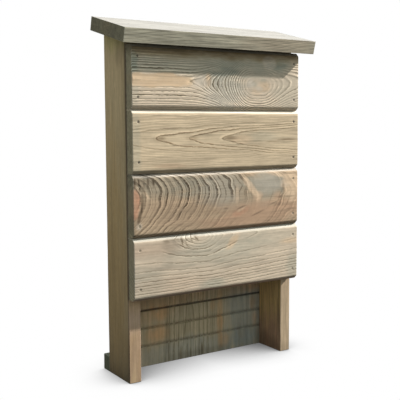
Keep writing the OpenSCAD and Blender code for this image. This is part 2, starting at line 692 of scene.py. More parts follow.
class RingLines(Effect):
    """Dark latewood lines: each ring ends in a line, and a painted highlight follows it.

    Both are measured in millimetres. The distance past a ring's start is its part of
    the spacing, and the line is never wider than a little under half of the spacing.
    """

    INPUTS = {"Ring": 0.0, "Spacing": 5.0, "Weight": 1.0, "Line Width": 2.0}
    OUTPUTS = ("Line", "Rim", "Random")
    WIDEST = 0.45  # of the spacing
    EDGE = 0.4  # of the line's width
    STOP = 0.3  # mm
    FAINTEST = 0.6  # of the weight

    def __init__(self) -> None:
        """Builds the group, from ring number, spacing and weight to the line, the painted highlight and a
        random value.
        """
        super().__init__("ring lines", self.INPUTS, dict.fromkeys(self.OUTPUTS, "Float"))
        nodes = self.nodes
        spacing = self.given["Spacing"]
        part = nodes.math("FRACT", self.given["Ring"])
        number = nodes.math("FLOOR", self.given["Ring"])
        random = nodes.add("TexWhiteNoise", {"noise_dimensions": "1D"}, W=number).outputs["Value"]
        width = nodes.math("MINIMUM", self.given["Line Width"], nodes.times(spacing, self.WIDEST))
        edge = nodes.times(width, self.EDGE)
        after = nodes.times(part, spacing)
        before = nodes.less(spacing, after)
        rise = nodes.ramp(before, width, edge)
        stop = nodes.ramp(before, 0.0, self.STOP)
        # painted highlight just past each line, in place of the lit flank of the raised ridge
        rim = nodes.less(1.0, nodes.ramp(after, edge, width))
        strength = nodes.scaled(random, 1.0 - self.FAINTEST, self.FAINTEST)
        strength = nodes.times(self.given["Weight"], strength)
        self.put("Line", nodes.times(nodes.times(rise, stop), strength))
        self.put("Rim", nodes.times(rim, self.given["Weight"]))
        self.put("Random", random)


class FibreStreaks(Effect):
    """Streaks along the fibres at three widths, and a mottle, each a stretched noise."""

    # Cells a millimetre along, across and in depth, the shift and the octaves added.
    NOISES = {
        "Fine": ((0.022, 0.45, 0.45), (0.0, 0.0, 0.0), 3.0),
        "Broad": ((0.007, 0.11, 0.11), (3.1, 7.7, 5.3), 2.0),
        "Fleck": ((0.10, 0.45, 0.45), (9.0, 1.7, 4.0), 2.0),
        "Mottle": ((0.13, 0.2, 0.2), (2.0, 5.7, 8.0), 3.0),
    }

    def __init__(self) -> None:
        """Builds the group, from a position in millimetres to the streaks."""
        super().__init__("fibre streaks", {"Fibre": None}, dict.fromkeys(self.NOISES, "Float"))
        for key, (scale, shift, detail) in self.NOISES.items():
            position = self.nodes.place(self.given["Fibre"], scale, shift)
            self.put(key, self.nodes.noise(position, detail))


class WeatheredTimber(Effect):
    """Wood colour, roughness and relief from rings, fibres, stains and wear."""

    INPUTS = {
        "Fibre": None,
        "Figure": None,
        "Stain": None,
        "Wear": None,
        "Tint": None,
        "Early Wood": (0.5, 0.4, 0.3),
        "Late Wood": (0.2, 0.15, 0.1),
        "Gold Tint": (0.66, 0.48, 0.32),
        "Warm Tint": (0.5, 0.25, 0.13),
        "Green Tint": (0.25, 0.25, 0.2),
        "Bleached": (0.5, 0.48, 0.4),
        "End Grain": (0.13, 0.12, 0.09),
        "Streak": 0.4,
        "Blotch": 0.3,
        "Ridge": 0.2,
        "Fibre Relief": 0.04,
        "Line Width": 2.0,
        "Rim": 0.25,
        "False Rings": 0.3,
    }
    OUTPUTS = {"Color": "Color", "Roughness": "Float", "Height": "Float"}
    MIDDLE = 0.5  # of a noise or a random value
    FINE_WOBBLE = 1.6  # mm
    MOTTLE_WOBBLE = 3.0  # mm
    WOBBLING_RINGS = (1.5, 8.0)  # mm of spacing, from no wobble to the full one
    MOTTLE_BREAKS = 0.8
    BREAKS = (-0.22, 0.06)  # streaks below which a line breaks, and above which it is whole
    BROKEN = 0.45  # what is left of the line there
    FALSE_RINGS = 3.0  # in a true one
    FALSE_SHIFT = 0.4  # of a false ring
    FALSE_WIDTH = 0.7  # of the line's width
    RINGS_WITH_FALSE = (6.0, 11.0)  # mm of spacing, from no false rings to the full ones
    CALMED = 0.6
    MOTTLED = 0.22
    RING_TONES = 0.06
    SHADED = 0.8
    # A stain's cover: its streaks times the first value, plus the second.
    GREEN_COVER = (0.8, 0.9)
    WARM_COVER = (0.9, 0.9)
    GOLD_COVER = (0.9, 1.0)
    LATE_SHARE = 0.35
    END_SHARE = 0.85
    ROUGH = 0.86
    LINE_SMOOTHNESS = 0.12
    FLECK_ROUGHNESS = 0.15
    FINE_RELIEF = 2.0

    def __init__(self, rings: bpy.types.NodeTree, fibres: bpy.types.NodeTree) -> None:
        """Builds the group round the two others.

        Args:
            rings: Group of the ring lines.
            fibres: Group of the fibre streaks.
        """
        super().__init__("weathered timber", self.INPUTS, self.OUTPUTS)
        nodes = self.nodes
        given = self.given
        self.phase, self.weight, self.spacing = nodes.split(given["Figure"])
        self.warm, self.green, self.shade = nodes.split(given["Stain"])
        self.bleach, self.calm, self.end = nodes.split(given["Wear"])
        self.gold, self.crack, _ = nodes.split(given["Tint"])
        streaks = nodes.group(fibres, {"Fibre": given["Fibre"]}).outputs
        centred = [nodes.less(streaks[name], self.MIDDLE) for name in FibreStreaks.NOISES]
        self.fine, self.broad, self.fleck, self.mottle = centred
        true_rings, line = self.lines(rings)
        self.put("Color", self.colour(line, self.tone(true_rings)))
        rough = nodes.scaled(line, -self.LINE_SMOOTHNESS, self.ROUGH)
        self.put("Roughness", nodes.scaled(self.fleck, self.FLECK_ROUGHNESS, rough))
        height = nodes.times(true_rings["Line"], given["Ridge"])
        height = nodes.scaled(self.fine, nodes.times(given["Fibre Relief"], self.FINE_RELIEF), height)
        self.put("Height", nodes.scaled(self.mottle, given["Fibre Relief"], height))

    def lines(self, rings: bpy.types.NodeTree) -> tuple[bpy.types.NodeOutputs, Socket]:
        """Dark lines: rings that wobble and break, false rings between wide ones, and cracks.

        Args:
            rings: Group of the ring lines.

        Returns:
            The true rings' outputs, and the darkest of the lines.
        """
        nodes = self.nodes
        wobble = nodes.scaled(self.fine, self.FINE_WOBBLE, nodes.times(self.mottle, self.MOTTLE_WOBBLE))
        wobble = nodes.times(wobble, nodes.ramp(self.spacing, *self.WOBBLING_RINGS))
        ring = nodes.math("ADD", self.phase, nodes.math("DIVIDE", wobble, self.spacing))
        whole = nodes.ramp(nodes.scaled(self.mottle, self.MOTTLE_BREAKS, self.fleck), *self.BREAKS)
        shown = nodes.times(self.weight, nodes.less(1.0, self.calm))
        shown = nodes.times(shown, nodes.scaled(whole, 1.0 - self.BROKEN, self.BROKEN))
        width = self.given["Line Width"]
        values = {"Ring": ring, "Weight": shown, "Spacing": self.spacing, "Line Width": width}
        true_rings = nodes.group(rings, values).outputs
        wide = nodes.times(nodes.ramp(self.spacing, *self.RINGS_WITH_FALSE), self.given["False Rings"])
        values = {
            "Ring": nodes.scaled(ring, self.FALSE_RINGS, self.FALSE_SHIFT),
            "Spacing": nodes.math("DIVIDE", self.spacing, self.FALSE_RINGS),
            "Weight": nodes.times(shown, wide),
            "Line Width": nodes.times(width, self.FALSE_WIDTH),
        }
        false_rings = nodes.group(rings, values).outputs
        line = nodes.math("MAXIMUM", true_rings["Line"], false_rings["Line"])
        return true_rings, nodes.math("MAXIMUM", line, nodes.math("MINIMUM", self.crack, 1.0))

    def tone(self, true_rings: bpy.types.NodeOutputs) -> Socket:
        """How light the wood is: 1 plus each streak's share and the painted highlight, less the shade.

        Args:
            true_rings: Outputs of the ring lines.

        Returns:
            The factor on the colour.
        """
        nodes = self.nodes
        given = self.given
        streak = nodes.times(given["Streak"], nodes.scaled(self.calm, -self.CALMED, 1.0))
        tone = nodes.scaled(self.fine, streak, 1.0)
        tone = nodes.scaled(self.broad, given["Blotch"], tone)
        tone = nodes.scaled(self.mottle, self.MOTTLED, tone)
        # painted highlight just past each ring line
        tone = nodes.scaled(true_rings["Rim"], given["Rim"], tone)
        tone = nodes.scaled(nodes.less(true_rings["Random"], self.MIDDLE), self.RING_TONES, tone)
        return nodes.times(tone, nodes.scaled(self.shade, -self.SHADED, 1.0))

    def colour(self, line: Socket, tone: Socket) -> Socket:
        """Stains the early wood, draws the lines and the end grain on it, and scales it by the tone.

        Args:
            line: Amount of the dark lines.
            tone: Factor on the colour.

        Returns:
            The colour.
        """
        nodes = self.nodes
        given = self.given
        wood = given["Early Wood"]
        stains = (
            (self.green, self.fleck, self.GREEN_COVER, "Green Tint"),
            (self.warm, self.broad, self.WARM_COVER, "Warm Tint"),
            (self.gold, self.fleck, self.GOLD_COVER, "Gold Tint"),
        )
        for amount, streaks, values, tint in stains:
            cover = nodes.times(amount, nodes.scaled(streaks, *values))
            wood = nodes.mix(nodes.limit(cover), wood, given[tint])
        wood = nodes.mix(nodes.limit(self.bleach), wood, given["Bleached"])
        dark = nodes.mix(self.LATE_SHARE, given["Late Wood"], wood, "MULTIPLY")
        wood = nodes.mix(line, wood, dark)
        wood = nodes.mix(nodes.times(self.end, self.END_SHARE), wood, given["End Grain"])
        toned = nodes.add("VectorMath", {"operation": "SCALE"})
        nodes.feed(toned.inputs[0], wood)
        nodes.feed(toned.inputs["Scale"], tone)
        return toned.outputs[0]


# -------------------------------------------------------------------------- timbers


def node_points(node: str) -> np.ndarray:
    """Vertices of a CAD node, in millimetres.

    Args:
        node: Name of the node.

    Returns:
        One vertex a row.
    """
    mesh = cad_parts[node].data
    points = np.empty(len(mesh.vertices) * 3)
    mesh.vertices.foreach_get("co", points)
    return points.reshape(-1, 3) / MM


@dataclass(frozen=True)
class Seat:
    """A timber's own axes in the frame: rows of basis run along, across and in depth."""

    origin: np.ndarray
    basis: np.ndarray
    size: np.ndarray

    @classmethod
    def in_box(cls, node: str, axes: tuple[str, str, str]) -> "Seat":
        """Axes along a node's box, each named with its sign, such as -Z.

        Args:
            node: CAD node whose box the timber fills.
            axes: Directions along the fibres, across them and into the depth.

        Returns:
            The seat.
        """
        points = node_points(node)
        low = points.min(axis=0)
        high = points.max(axis=0)
        origin = np.zeros(3)
        basis = np.zeros((3, 3))
        size = np.zeros(3)
        for row, name in enumerate(axes):
            axis = "XYZ".index(name[1])
            sign = 1.0 if name[0] == "+" else -1.0
            origin[axis] = low[axis] if sign > 0 else high[axis]
            basis[row, axis] = sign
            size[row] = high[axis] - low[axis]
        return cls(origin, basis, size)

    def inwards(self, points: np.ndarray) -> np.ndarray:
        """Frame points on the timber's own axes."""
        return (points - self.origin) @ self.basis.T

    def outwards(self, places: np.ndarray) -> np.ndarray:
        """Points on the timber's own axes, in the frame."""
        return self.origin + places @ self.basis

    @property
    def mirrored(self) -> bool:
        """Whether the axes are left-handed, so that faces have to be turned."""
        return np.linalg.det(self.basis) < 0.0


@dataclass
class Timber:
    """One timber with rounded arrises, growth-ring relief and weathering."""

    ARRIS_STRETCH = 1.6  # arris radii with closer stations
    ARRIS_SPACING = 0.35  # arris radii between them
    ARRIS_CELL = (24.0, 24.0, 24.0)  # mm
    ARRIS_WANDER = 0.3  # of the radius
    ARRIS_SEED = 50
    NAIL_STRETCH = 2.6  # mm with closer stations
    NAIL_SPACING = 0.65  # mm between them
    NAIL_TOP = 0.05  # mm
    POCKET_EDGE = 0.5  # mm
    STAIN_REACH = (1.2, 3.0)  # mm from the nail's axis, where the stain is full and where it ends
    RIDGE_PART = 0.94  # of a ring
    RIDGE_FOOT = (0.4, 3.4)  # mm from the ridge, where the wear starts and where it is full
    RESOLVED_STEPS = (2.0, 3.6)  # lattice steps to a ring, for no relief and for the full one
    UNEVEN_CELL = (30.0, 7.0, 9.0)  # mm
    SMALL_UNEVEN_CELL = (11.0, 3.0, 5.0)  # mm
    SMALL_UNEVEN = 0.5
    UNEVEN_SEED = 90
    CORNER = (0.02, 0.2)  # how far a normal is from square, on a flat face and on an arris

    node: str
    growth: Growth
    finish: TimberFinish
    patches: tuple[Patch, ...] = ()
    nail_nodes: tuple[str, ...] = ()
    nailed_from_back: bool = False
    steps: Triple = (1.7, 1.4, 2.0)
    arris: float = 1.3
    relief: float = 0.2
    edge_bleach: float = 0.35
    seed: int = 0
    nail_pocket: float = 0.55
    nail_radius: float = 1.55
    nail_stain: float = 0.3
    seat: Seat = field(init=False)
    nails: np.ndarray = field(init=False)

    def __post_init__(self) -> None:
        """Finds the timber's place and its nail heads in the frame."""
        self.seat = self.find_seat()
        self.nails = self.find_nails()

    def find_seat(self) -> Seat:
        """Axes of the timber; each kind of timber has its own."""
        raise NotImplementedError

    def find_nails(self) -> np.ndarray:
        """Finds the nail heads on the face that they were driven into.

        A head's flat top is the part of its node nearest to that face.

        Returns:
            (along, across) of each head.
        """
        found = []
        for name in self.nail_nodes:
            places = self.seat.inwards(node_points(name))
            depth = self.seat.size[2] - places[:, 2] if self.nailed_from_back else places[:, 2]
            tops = places[depth < depth.min() + self.NAIL_TOP][:, :2]
            axis = int(np.argmax(np.ptp(tops, axis=0)))
            tops = tops[np.argsort(tops[:, axis])]
            gaps = np.flatnonzero(np.diff(tops[:, axis]) > 2.0 * self.nail_radius)
            for cluster in np.split(tops, gaps + 1):
                found.append((cluster.min(axis=0) + cluster.max(axis=0)) / 2.0)
        return np.array(found).reshape(-1, 2)

    def dense(self, axis: int) -> list[Dense]:
        """Stretches of one axis that need closer stations: the arrises and the nails.

        Args:
            axis: 0 along, 1 across, 2 in depth.

        Returns:
            The stretches.
        """
        reach = self.ARRIS_STRETCH * self.arris
        spacing = self.ARRIS_SPACING * self.arris
        stretches = [Dense(end, reach, spacing) for end in (0.0, self.seat.size[axis])]
        if axis < 2:
            nails = np.unique(self.nails[:, axis].round(1))
            stretches += [Dense(nail, self.NAIL_STRETCH, self.NAIL_SPACING) for nail in nails]
        return stretches

    def shape(self, places: np.ndarray) -> np.ndarray:
        """Turns the plain blank's points into this timber's own shape."""
        return places

    def rounded(self, places: np.ndarray) -> tuple[np.ndarray, np.ndarray]:
        """Rounds the arrises of the blank by a radius that wanders along them.

        Each point is pulled to the given radius from the nearest point of the blank
        shrunk by that radius.

        Args:
            places: Points on the blank's box.

        Returns:
            The rounded points and their outward normals.
        """
        worn = Noise(self.seed + self.ARRIS_SEED).at(places, self.ARRIS_CELL)
        radius = (self.arris * (1.0 + self.ARRIS_WANDER * worn))[:, None]
        core = np.clip(places, radius, self.seat.size - radius)
        normals = places - core
        normals /= np.linalg.norm(normals, axis=1, keepdims=True)
        return core + radius * normals, normals

    def ring_relief(self, phase: np.ndarray, weight: np.ndarray, spacing: np.ndarray) -> np.ndarray:
        """Depth worn off the soft part of each ring, so that the dark line stays proud.

        The ridge stands where the ring number is nearly whole. It fades where rings lie
        closer on the face than the lattice shows.

        Args:
            phase: Ring number at each point.
            weight: Weight of the nearest line.
            spacing: Width of the ring on the face.

        Returns:
            The depth at each point.
        """
        away = np.abs((phase - self.RIDGE_PART + 0.5) % 1.0 - 0.5) * spacing
        low, high = (steps * self.steps[1] for steps in self.RESOLVED_STEPS)
        resolved = smooth_step(low, high, spacing)
        return self.relief * weight * resolved * smooth_step(*self.RIDGE_FOOT, away)

    def nail_distance(self, places: np.ndarray) -> np.ndarray:
        """Distance from the nearest nail's axis, or a large number without nails.

        Args:
            places: Points on the timber's own axes.

        Returns:
            The distance of each point.
        """
        if not len(self.nails):
            return np.full(len(places), FAR_FROM_NAILS)
        gaps = places[:, None, :2] - self.nails[None]
        return np.linalg.norm(gaps, axis=2).min(axis=1)

    def marks(self, places: np.ndarray, normals: np.ndarray) -> Marks:
        """Adds up the patches, the pale arrises, the end grain and the stain round the nails.

        Args:
            places: Points on the timber's own axes.
            normals: Outward normal of the blank at each point.

        Returns:
            The marks at each point.
        """
        uneven = Noise(self.seed + self.UNEVEN_SEED).at(places, self.UNEVEN_CELL)
        small = Noise(self.seed + self.UNEVEN_SEED + 1).at(places, self.SMALL_UNEVEN_CELL)
        uneven += self.SMALL_UNEVEN * small
        made = Marks(len(places))
        shows = 1.0 - facing(normals[:, 2])
        for patch in self.patches:
            side = 1.0 - shows if patch.on_back else shows
            made.add(patch.mark, patch.cover(places, uneven) * side)
        near_nail = 1.0 - smooth_step(*self.STAIN_REACH, self.nail_distance(places))
        made.add(Mark.SHADE, self.nail_stain * near_nail * self.nailed_side(normals))
        corner = smooth_step(*self.CORNER, 1.0 - np.abs(normals).max(axis=1))
        made.add(Mark.BLEACH, self.edge_bleach * corner)
        made.add(Mark.END, facing(np.abs(normals[:, 0]), 0.75, 0.95))
        made.limit()
        return made

    def nailed_side(self, normals: np.ndarray) -> np.ndarray:
        """1 on the face that the nails were driven into, and 0 elsewhere."""
        return facing(normals[:, 2] if self.nailed_from_back else -normals[:, 2], 0.5, 0.9)

    def build(self, group: bpy.types.NodeTree) -> bpy.types.Object:
        """Builds the timber's mesh and dresses it.

        Args:
            group: The shared timber group.

        Returns:
            The finished piece.
        """
        axes = [stations(self.seat.size[k], self.steps[k], self.dense(k)) for k in range(3)]
        places, faces = lattice_shell(axes)
        places, normals = self.rounded(places)
        places = self.shape(places)
        phase = self.growth.phase(places)
        weight = self.growth.weight(phase)
        spacing = self.growth.spacing(places, phase)
        wear = self.ring_relief(phase, weight, spacing)
        rim = self.nail_radius + self.POCKET_EDGE
        pocket = 1.0 - smooth_step(self.nail_radius, rim, self.nail_distance(places))
        wear = np.maximum(wear, self.nail_pocket * pocket * self.nailed_side(normals))
        places = places - normals * wear[:, None]
        faces = faces[:, ::-1] if self.seat.mirrored else faces
        figure = np.stack([phase, weight, spacing], axis=1)
        attributes = {"figure": figure, **self.marks(places, normals).attributes}
        piece = add_piece(self.node + "_timber", self.seat.outwards(places) * MM, faces, attributes)
        piece.data.materials.append(self.finish.material(group))
        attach(piece, BODY)
        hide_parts(self.node)
        log.info("%s: %d faces, %d nail heads", piece.name, len(faces), len(self.nails))
        return piece


def add_piece(
    name: str, points: np.ndarray, faces: np.ndarray, attributes: dict[str, np.ndarray]
) -> bpy.types.Object:
    """Makes a smooth-shaded mesh object with vector attributes on its points.

    Args:
        name: Name of the piece.
        points: Points in metres.
        faces: Faces of four.
        attributes: Three values a point, by attribute name.

    Returns:
        The object, linked to the scene.
    """
    mesh = bpy.data.meshes.new(name)
    mesh.from_pydata(points, [], faces)
    mesh.shade_smooth()
    for key, values in attributes.items():
        layer = mesh.attributes.new(key, "FLOAT_VECTOR", "POINT")
        layer.data.foreach_set("vector", values.astype(np.float32).ravel())
    mesh.update()
    piece = bpy.data.objects.new(name, mesh)
    bpy.context.scene.collection.objects.link(piece)
    return piece


@dataclass
class FrontBoard(Timber):
    """A level front board, chamfered along both long edges of its face."""

    CREASE_STRETCH = 1.2  # creases with closer stations
    CREASE_SPACING = 0.35  # mm between them
    JOINT_STRETCH = 3.0  # mm with closer stations
    JOINT_SPACING = 0.8  # mm between them
    JOINT_REACH = (3.4, 1.2)  # mm before the back, where the painted shade starts and where it is full
    CHAMFER_DEPTH = (0.5, 1.5)  # mm behind the face

    crease: float = 0.9
    # painted shade on the lower chamfer and underside, and in the gap where the board meets the sides
    grime: float = 0.55
    painted_joint_shade: float = 0.95
    upper_bleach: float = 0.85
    chamfer: float = field(init=False)

    def find_seat(self) -> Seat:
        """Along from the left end, across from the top edge, and in from the face."""
        return Seat.in_box(self.node, ("+X", "-Z", "+Y"))

    def __post_init__(self) -> None:
        """Measures the chamfer on the CAD board's face."""
        super().__post_init__()
        places = self.seat.inwards(node_points(self.node))
        self.chamfer = float(places[places[:, 2] < FLAT, 1].min())

    def dense(self, axis: int) -> list[Dense]:
        """Adds stations where the chamfers meet the face, and at the joint behind the board.

        Args:
            axis: 0 along, 1 across, 2 in depth.

        Returns:
            The stretches.
        """
        stretches = super().dense(axis)
        if axis == 2:
            stretches.append(Dense(self.seat.size[2], self.JOINT_STRETCH, self.JOINT_SPACING))
        if axis == 1:
            reach = self.CREASE_STRETCH * self.crease
            creases = (self.chamfer, self.seat.size[1] - self.chamfer)
            stretches += [Dense(place, reach, self.CREASE_SPACING) for place in creases]
        return stretches

    def shape(self, places: np.ndarray) -> np.ndarray:
        """Presses the face back at 45 degrees towards its long edges.

        The chamfer's depth is chamfer - distance to the edge, softened where it starts,
        and each point moves by that depth times its share of the thickness before the back.

        Args:
            places: Points of the blank.

        Returns:
            The shaped points.
        """
        along, across, depth = places.T
        edge = np.minimum(across, self.seat.size[1] - across)
        rise = self.chamfer - edge
        pressed = 0.5 * (rise + np.sqrt(rise * rise + self.crease * self.crease))
        pressed -= 0.5 * (np.sqrt(rise.min() ** 2 + self.crease**2) + rise.min())
        share = 1.0 - depth / self.seat.size[2]
        return np.stack([along, across, depth + pressed * share], axis=1)

    def marks(self, places: np.ndarray, normals: np.ndarray) -> Marks:
        """Bleaches the upper chamfer, and paints shade on the lower one, the underside and the joint gap
        behind the board.

        Args:
            places: Points on the board's own axes.
            normals: Outward normal of the blank at each point.

        Returns:
            The marks at each point.
        """
        made = super().marks(places, normals)
        sloped = smooth_step(*self.CHAMFER_DEPTH, places[:, 2]) * facing(-normals[:, 2])
        upper = places[:, 1] < 0.5 * self.seat.size[1]
        made.raise_to(Mark.BLEACH, self.upper_bleach * sloped * upper)
        # painted shade on the lower chamfer and the underside, which face down
        under = np.maximum(sloped * ~upper, facing(normals[:, 1]))
        joint = smooth_step(*self.JOINT_REACH, self.seat.size[2] - places[:, 2])
        # painted shade in the gap where the board's end meets the side
        painted_joint_shade = self.painted_joint_shade * joint * made.of(Mark.END)
        made.raise_to(Mark.SHADE, np.maximum(self.grime * under, painted_joint_shade))
        return made


@dataclass
class SideBoard(Timber):
    """An upright side board: sawn on the slope on top and rebated for the back panel."""

    WALL_STRETCH = 0.6  # mm with closer stations
    WALL_SPACING = 0.2  # mm between them
    WALL_START = -0.1  # mm from the rebate's wall
    WALL_END = 0.3  # mm from the rebate's wall

    steps: Triple = (3.6, 1.5, 2.0)
    panel_node: str = "back_panel"
    roof_node: str = "roof_board"
    outer_x: str = "+X"
    # painted shade on the outer face, fading from the foot upwards and deeper at the very foot, where there
    # is also damp
    painted_shade_height: float = 450.0
    painted_shade_amount: float = 0.65
    foot_height: float = 25.0
    foot_amount: float = 0.35
    # painted shade along the front edge, and in the gap beside the front boards
    front_reach: float = 5.0
    front_amount: float = 0.25
    gap_bottom: float = 126.0
    gap_top: float = 134.0
    gap_reach: float = 2.4
    # painted shade on the inner face, and a brown stain there
    inner_shade: float = 0.25
    inner_warmth: float = 0.7
    arris: float = 0.8
    rebate: tuple[float, float] = field(init=False)
    slope: float = field(init=False)

    def find_seat(self) -> Seat:
        """Along from the floor, across from the front edge, and in from the outer face."""
        return Seat.in_box(self.node, ("+Z", "+Y", self.outer_x))

    def __post_init__(self) -> None:
        """Measures the rebate from the panel, and the slope from the roof."""
        super().__post_init__()
        panel = self.seat.inwards(node_points(self.panel_node))
        self.rebate = (float(panel[:, 2].min()), float(panel[:, 1].min()))
        self.slope = roof_slope(self.roof_node)

    def dense(self, axis: int) -> list[Dense]:
        """Adds stations at the wall of the rebate.

        Args:
            axis: 0 along, 1 across, 2 in depth.

        Returns:
            The stretches.
        """
        stretches = super().dense(axis)
        if axis == 2:
            stretches.append(Dense(self.rebate[0], self.WALL_STRETCH, self.WALL_SPACING))
        return stretches

    def marks(self, places: np.ndarray, normals: np.ndarray) -> Marks:
        """Paints shade on the outer face towards the foot and along its front edge, and on the inner face,
        which it stains brown.

        Args:
            places: Points on the board's own axes.
            normals: Outward normal of the blank at each point.

        Returns:
            The marks at each point.
        """
        made = super().marks(places, normals)
        height = places[:, 0]
        # painted shade darkening the outer face towards the foot, with damp at the very foot
        damp = self.painted_shade_amount * np.clip(1.0 - height / self.painted_shade_height, 0.0, 1.0)
        damp += self.foot_amount * np.exp(-height / self.foot_height)
        # painted shade along the front edge and in the gap beside the front boards
        damp += self.front_amount * np.exp(-places[:, 1] / self.front_reach)
        beside_boards = smooth_step(self.gap_bottom, self.gap_top, height)
        damp += beside_boards * np.exp(-((places[:, 1] / self.gap_reach) ** 2))
        inner = facing(normals[:, 2])
        made.add(Mark.SHADE, damp * facing(-normals[:, 2]))
        # painted shade on the inner face, then a brown stain there
        made.add(Mark.SHADE, self.inner_shade * inner)
        made.add(Mark.WARM, self.inner_warmth * inner)
        made.limit()
        return made

    def shape(self, places: np.ndarray) -> np.ndarray:
        """Slopes the top down to the front, and draws the back in over the rebate.

        Args:
            places: Points of the blank.

        Returns:
            The shaped points.
        """
        along, across, depth = places.T
        length, width, _ = self.seat.size
        wall, floor = self.rebate
        drawn = smooth_step(wall + self.WALL_START, wall + self.WALL_END, depth) * (1.0 - floor / width)
        across = across * (1.0 - drawn)
        top = length - (width - across) * math.tan(self.slope)
        return np.stack([along * top / length, across, depth], axis=1)


def roof_slope(node: str) -> float:
    """Slope of the roof board, from the line between its front face's two edges.

    Args:
        node: The roof's CAD node.

    Returns:
        The slope in radians.
    """
    points = node_points(node)
    lowest = points[points[:, 2].argmin()]
    foremost = points[points[:, 1].argmin()]
    return math.atan2(lowest[1] - foremost[1], foremost[2] - lowest[2])


@dataclass
class RoofBoard(Timber):
    """The sloping roof board, square-edged."""

    steps: Triple = (1.9, 1.6, 2.0)
    top_bleach: float = 0.95
    top_calm: float = 0.6

    def find_seat(self) -> Seat:
        """Along from the left end, across up the slope from the front, and in from the top.

        Returns:
            The seat.
        """
        points = node_points(self.node)
        slope = roof_slope(self.node)
        up_slope = (0.0, math.cos(slope), math.sin(slope))
        downwards = (0.0, math.sin(slope), -math.cos(slope))
        basis = np.array([(1.0, 0.0, 0.0), up_slope, downwards])
        places = points @ basis.T
        low = places.min(axis=0)
        return Seat(low @ basis, basis, places.max(axis=0) - low)

    def marks(self, places: np.ndarray, normals: np.ndarray) -> Marks:
        """Bleaches the top and calms its ring lines.

        Args:
            places: Points on the board's own axes.
            normals: Outward normal of the blank at each point.

        Returns:
            The marks at each point.
        """
        made = super().marks(places, normals)
        top = facing(-normals[:, 2], 0.5, 0.95)
        made.raise_to(Mark.BLEACH, self.top_bleach * top)
        made.raise_to(Mark.CALM, self.top_calm * top)
        return made


@dataclass
class BackPanel(Timber):
    """The back panel, with level saw grooves across its face and a top on the slope."""

    LIP_STRETCH = 0.75  # mm with closer stations
    LIP_SPACING = 0.4  # mm between them
    SUNK = (0.2, 0.8)  # of the groove's depth

    steps: Triple = (5.0, 2.0, 2.2)
    roof_node: str = "roof_board"
    lip: float = 0.35
    # painted shade in the grooves by height, strongest in the top groove near the front boards
    painted_groove_shade: Course = Course(((0, 0.25), (72, 0.35), (88, 0.95), (600, 0.95)))
    grooves: np.ndarray = field(init=False)
    groove_depth: float = field(init=False)

    def find_seat(self) -> Seat:
        """Along from the floor, across from the left edge, and in from the grooved face."""
        return Seat.in_box(self.node, ("+Z", "+X", "+Y"))

    def __post_init__(self) -> None:
        """Measures the grooves at the left edge of the CAD panel."""
        super().__post_init__()
        places = self.seat.inwards(node_points(self.node))
        edge = places[places[:, 1] < FLAT]
        self.groove_depth = float(np.unique(edge[:, 2].round(2))[1])
        floors = edge[np.abs(edge[:, 2] - self.groove_depth) < FLAT]
        self.grooves = np.unique(floors[:, 0].round(2)).reshape(-1, 2)

    def dense(self, axis: int) -> list[Dense]:
        """Adds stations at both walls of each groove.

        Args:
            axis: 0 along, 1 across, 2 in depth.

        Returns:
            The stretches.
        """
        stretches = super().dense(axis)
        if axis == 0:
            stretches += [Dense(wall, self.LIP_STRETCH, self.LIP_SPACING) for wall in self.grooves.flat]
        return stretches

    def shape(self, places: np.ndarray) -> np.ndarray:
        """Slopes the top, and presses the face in at each groove.

        A groove's depth is full between its walls and fades to nothing over a narrow lip.

        Args:
            places: Points of the blank.

        Returns:
            The shaped points.
        """
        along, across, depth = places.T
        length, _, thickness = self.seat.size
        top = length - (thickness - depth) * math.tan(roof_slope(self.roof_node))
        along = along * top / length
        cut = np.zeros(len(along))
        for low, high in self.grooves:
            inside = smooth_step(low - self.lip, low, along)
            cut += inside * (1.0 - smooth_step(high, high + self.lip, along))
        share = 1.0 - depth / thickness
        return np.stack([along, across, depth + self.groove_depth * cut * share], axis=1)

    def marks(self, places: np.ndarray, normals: np.ndarray) -> Marks:
        """Paints shade into the grooves, less so near the foot.

        Args:
            places: Points on the panel's own axes.
            normals: Outward normal of the blank at each point.

        Returns:
            The marks at each point.
        """
        made = super().marks(places, normals)
        sunk = smooth_step(*self.SUNK, places[:, 2] / self.groove_depth) * facing(-normals[:, 2])
        # painted shade in the grooves
        made.raise_to(Mark.SHADE, self.painted_groove_shade.at(places[:, 0]) * sunk)
        return made


@dataclass
class WallBatten(Timber):
    """The batten across the foot of the back."""

    steps: Triple = (2.4, 1.8, 1.8)

    def find_seat(self) -> Seat:
        """Along from the left end, across from the top, and in from the wall's side."""
        return Seat.in_box(self.node, ("+X", "-Z", "-Y"))


# ------------------------------------------------------------------- sub-assemblies


